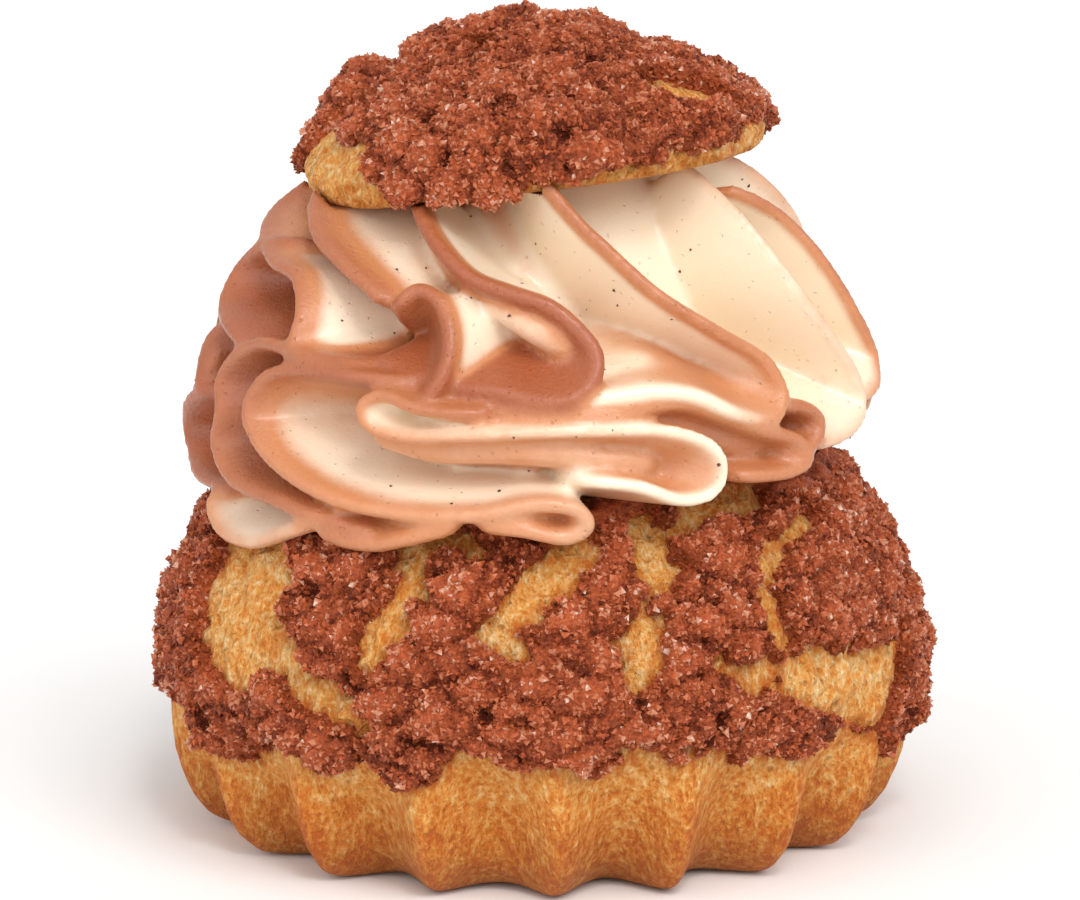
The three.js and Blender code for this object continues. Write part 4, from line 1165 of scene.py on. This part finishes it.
class PUFF_OT_lid_crust(Operator):
    """Lay the sugar crust and its grains on the lid"""
    bl_idname = "puff.lid_crust"
    bl_label = "Lid Crust"

    def execute(self, context):
        crust, lid = context.scene.puff_crust, context.scene.puff_lid
        lower = 0.4 * MM
        points, out, turn, height = lid_surface(lid, LID_CRUST_GRID)
        inside = lid_cover(lid, points, turn, height)
        add_crust(crust, ("lid_craquelin", "lid_grains"), "choux_lid", points, out, inside,
                  self.lumps(points.reshape(-1, 3)) - lower, quads(LID_CRUST_GRID, LID_CRUST_GRID, False),
                  LID_STARTS, place=lambda spots: to_lid(lid, spots))
        return {"FINISHED"}

    def lumps(self, flat):
        """Heights of the lumps: those that are set and, seeded, others that are lower towards the middle."""
        count, reach = 26, 22
        draw = seeded(LUMP_START)
        lumps = list(LID_LUMPS)
        for _ in range(count):
            turn, radius = 360 * next(draw), reach * next(draw) ** 0.5
            rise = (0.4 + 1.2 * next(draw)) * radius / reach
            lumps.append((turn, radius, rise, 3 + 4 * next(draw)))
        heights = np.zeros(len(flat))
        for turn, radius, rise, width in lumps:
            away = np.linalg.norm(flat[:, :2] - ring_place(turn, 0, radius * MM)[:2], axis=1)
            heights = np.maximum(heights, rise * MM * np.exp(-(away / (width * MM * 0.5)) ** 4))
        return heights


class PUFF_OT_cream(Operator):
    """Pipe the ruffled swirl of cream"""
    bl_idname = "puff.cream"
    bl_label = "Cream Swirl"

    def execute(self, context):
        cream, lid = context.scene.puff_cream, context.scene.puff_lid
        mesh, vertices, tones, facing = join_folds(cream)
        mesh = thin_even(mesh, spread_tones(mesh, vertices, tones, facing), cream.keep)
        spots = np.empty(3 * len(mesh.vertices))
        mesh.vertices.foreach_get("co", spots)
        gap, past_rim, droop_from = 0.1 * MM, 0.3 * MM, 0.7
        matrix = lid_matrix(lid)
        local = (spots.reshape(-1, 3) - matrix[:3, 3]) @ matrix[:3, :3]
        reach = np.hypot(local[:, 0], local[:, 1])
        hung = lid_droop(lid, np.degrees(np.arctan2(local[:, 0], -local[:, 1])))
        face = -gap - hung * smoothstep(droop_from * lid.radius, lid.radius, reach)
        under = reach < lid.radius + past_rim
        local[:, 2] = np.where(under, np.minimum(local[:, 2], face), local[:, 2])
        mesh.vertices.foreach_set("co", to_lid(lid, local).ravel())
        material = finish_of("whipped_cream", paint_cream, cream)
        dress(mesh, "cream_swirl_folds", material, "cream_swirl", "cream")
        return {"FINISHED"}


class PUFF_OT_seeds(Operator):
    """Strew vanilla seeds over the pale cream"""
    bl_idname = "puff.seeds"
    bl_label = "Vanilla Seeds"

    def execute(self, context):
        cream = context.scene.puff_cream
        palest, outer_share, lowest, sunk = 0.35, 0.62, 38 * MM, 0.06 * MM
        mesh = bpy.data.objects["cream_swirl_folds"].data
        tone = np.empty(len(mesh.vertices), np.float32)
        mesh.attributes["chocolate"].data.foreach_get("value", tone)
        spots = np.array([vertex.co for vertex in mesh.vertices])
        out = np.array([vertex.normal for vertex in mesh.vertices])
        outer = np.hypot(spots[:, 0], spots[:, 1]) > outer_share * cream_reach(cream, spots[:, 2] / MM) * MM
        chosen = np.flatnonzero((tone < palest) & outer & (spots[:, 2] > lowest))
        spread, choice, shapes = SPECK_STARTS
        chosen = chosen[spread_spots(spots[chosen], SPECK_SPACING * MM, spread)]
        chosen = np.random.default_rng(choice).choice(chosen, cream.specks, replace=False)
        vertices, faces = broken_grains(spots[chosen] - sunk * out[chosen], out[chosen], shapes, DOUBLE_PYRAMID,
                                        SPECK_SIZES, SPECK_PROUD)
        add_piece("vanilla_seeds", vertices, faces.tolist(), finish_of("vanilla_seed", paint_seed, cream),
                  "cream_swirl", "cream")
        return {"FINISHED"}


class PUFF_OT_stage(Operator):
    """Set the floor, the lights and the camera"""
    bl_idname = "puff.stage"
    bl_label = "Stage"

    def execute(self, context):
        scene, stage = context.scene, context.scene.puff_stage
        columns, radii = 96, (6.0, 1.5, 0.4)
        turn = np.arange(columns) * 360 / columns
        rings = np.vstack([ring_place(turn, 0.0, radius) for radius in radii])
        mesh = bpy.data.meshes.new("floor")
        inner = list(range(len(rings) - columns, len(rings)))
        mesh.from_pydata(rings.tolist(), [], quads(len(radii), columns, True).tolist() + [inner])
        mesh.materials.append(finish_of("floor", paint_floor, stage))
        floor = bpy.data.objects.new("floor", mesh)
        scene.collection.objects.link(floor)
        for name, (power, spread, rotation) in LIGHTS.items():
            light = bpy.data.lights.new(name, "SUN")
            light.energy = power
            light.angle = math.radians(spread)
            lamp = bpy.data.objects.new(name, light)
            lamp.rotation_euler = [math.radians(angle) for angle in rotation]
            scene.collection.objects.link(lamp)
        world = bpy.data.worlds.new("studio")
        world.use_nodes = True
        background = world.node_tree.nodes["Background"]
        fill(world.node_tree, background, {"Color": (1, 1, 1, 1), "Strength": stage.sky})
        scene.world = world
        scene.view_settings.view_transform = "Standard"
        camera = bpy.data.cameras.new("camera")
        camera.sensor_width = 36
        camera.lens = stage.lens
        eye = bpy.data.objects.new("camera", camera)
        eye.location = (0, -stage.distance * math.cos(stage.elevation),
                        stage.aim + stage.distance * math.sin(stage.elevation))
        eye.rotation_euler = (math.pi / 2 - stage.elevation, 0, 0)
        scene.collection.objects.link(eye)
        scene.camera = eye
        return {"FINISHED"}


class PUFF_PT_panel(Panel):
    """Buttons for the pieces, and their sizes and colours"""
    bl_idname = "PUFF_PT_panel"
    bl_label = "Cream Puff"
    bl_space_type = "VIEW_3D"
    bl_region_type = "UI"
    bl_category = "Cream Puff"

    def draw(self, context):
        for operator in OPERATORS:
            self.layout.operator(operator.bl_idname)
        for name, settings in SETTINGS.items():
            box = self.layout.box()
            box.label(text=settings.__name__.replace("Settings", ""))
            for key in settings.__annotations__:
                box.prop(getattr(context.scene, name), key)


SETTINGS = {
    "puff_choux": ChouxSettings, "puff_crust": CrustSettings, "puff_cream": CreamSettings,
    "puff_lid": LidSettings, "puff_stage": StageSettings,
}
OPERATORS = (PUFF_OT_stage, PUFF_OT_base_choux, PUFF_OT_base_crust, PUFF_OT_cream, PUFF_OT_seeds,
             PUFF_OT_lid_choux, PUFF_OT_lid_crust)
CLASSES = (*SETTINGS.values(), *OPERATORS, PUFF_PT_panel)


def register():
    for each in CLASSES:
        bpy.utils.register_class(each)
    for name, settings in SETTINGS.items():
        setattr(bpy.types.Scene, name, PointerProperty(type=settings))


def unregister():
    for name in SETTINGS:
        delattr(bpy.types.Scene, name)
    for each in reversed(CLASSES):
        bpy.utils.unregister_class(each)


def main():
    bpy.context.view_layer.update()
    register()
    bpy.ops.puff.stage()
    bpy.ops.puff.base_choux()
    bpy.ops.puff.base_crust()
    bpy.ops.puff.cream()
    bpy.ops.puff.seeds()
    bpy.ops.puff.lid_choux()
    bpy.ops.puff.lid_crust()
    bpy.context.view_layer.update()


if __name__ == "__main__":
    main()
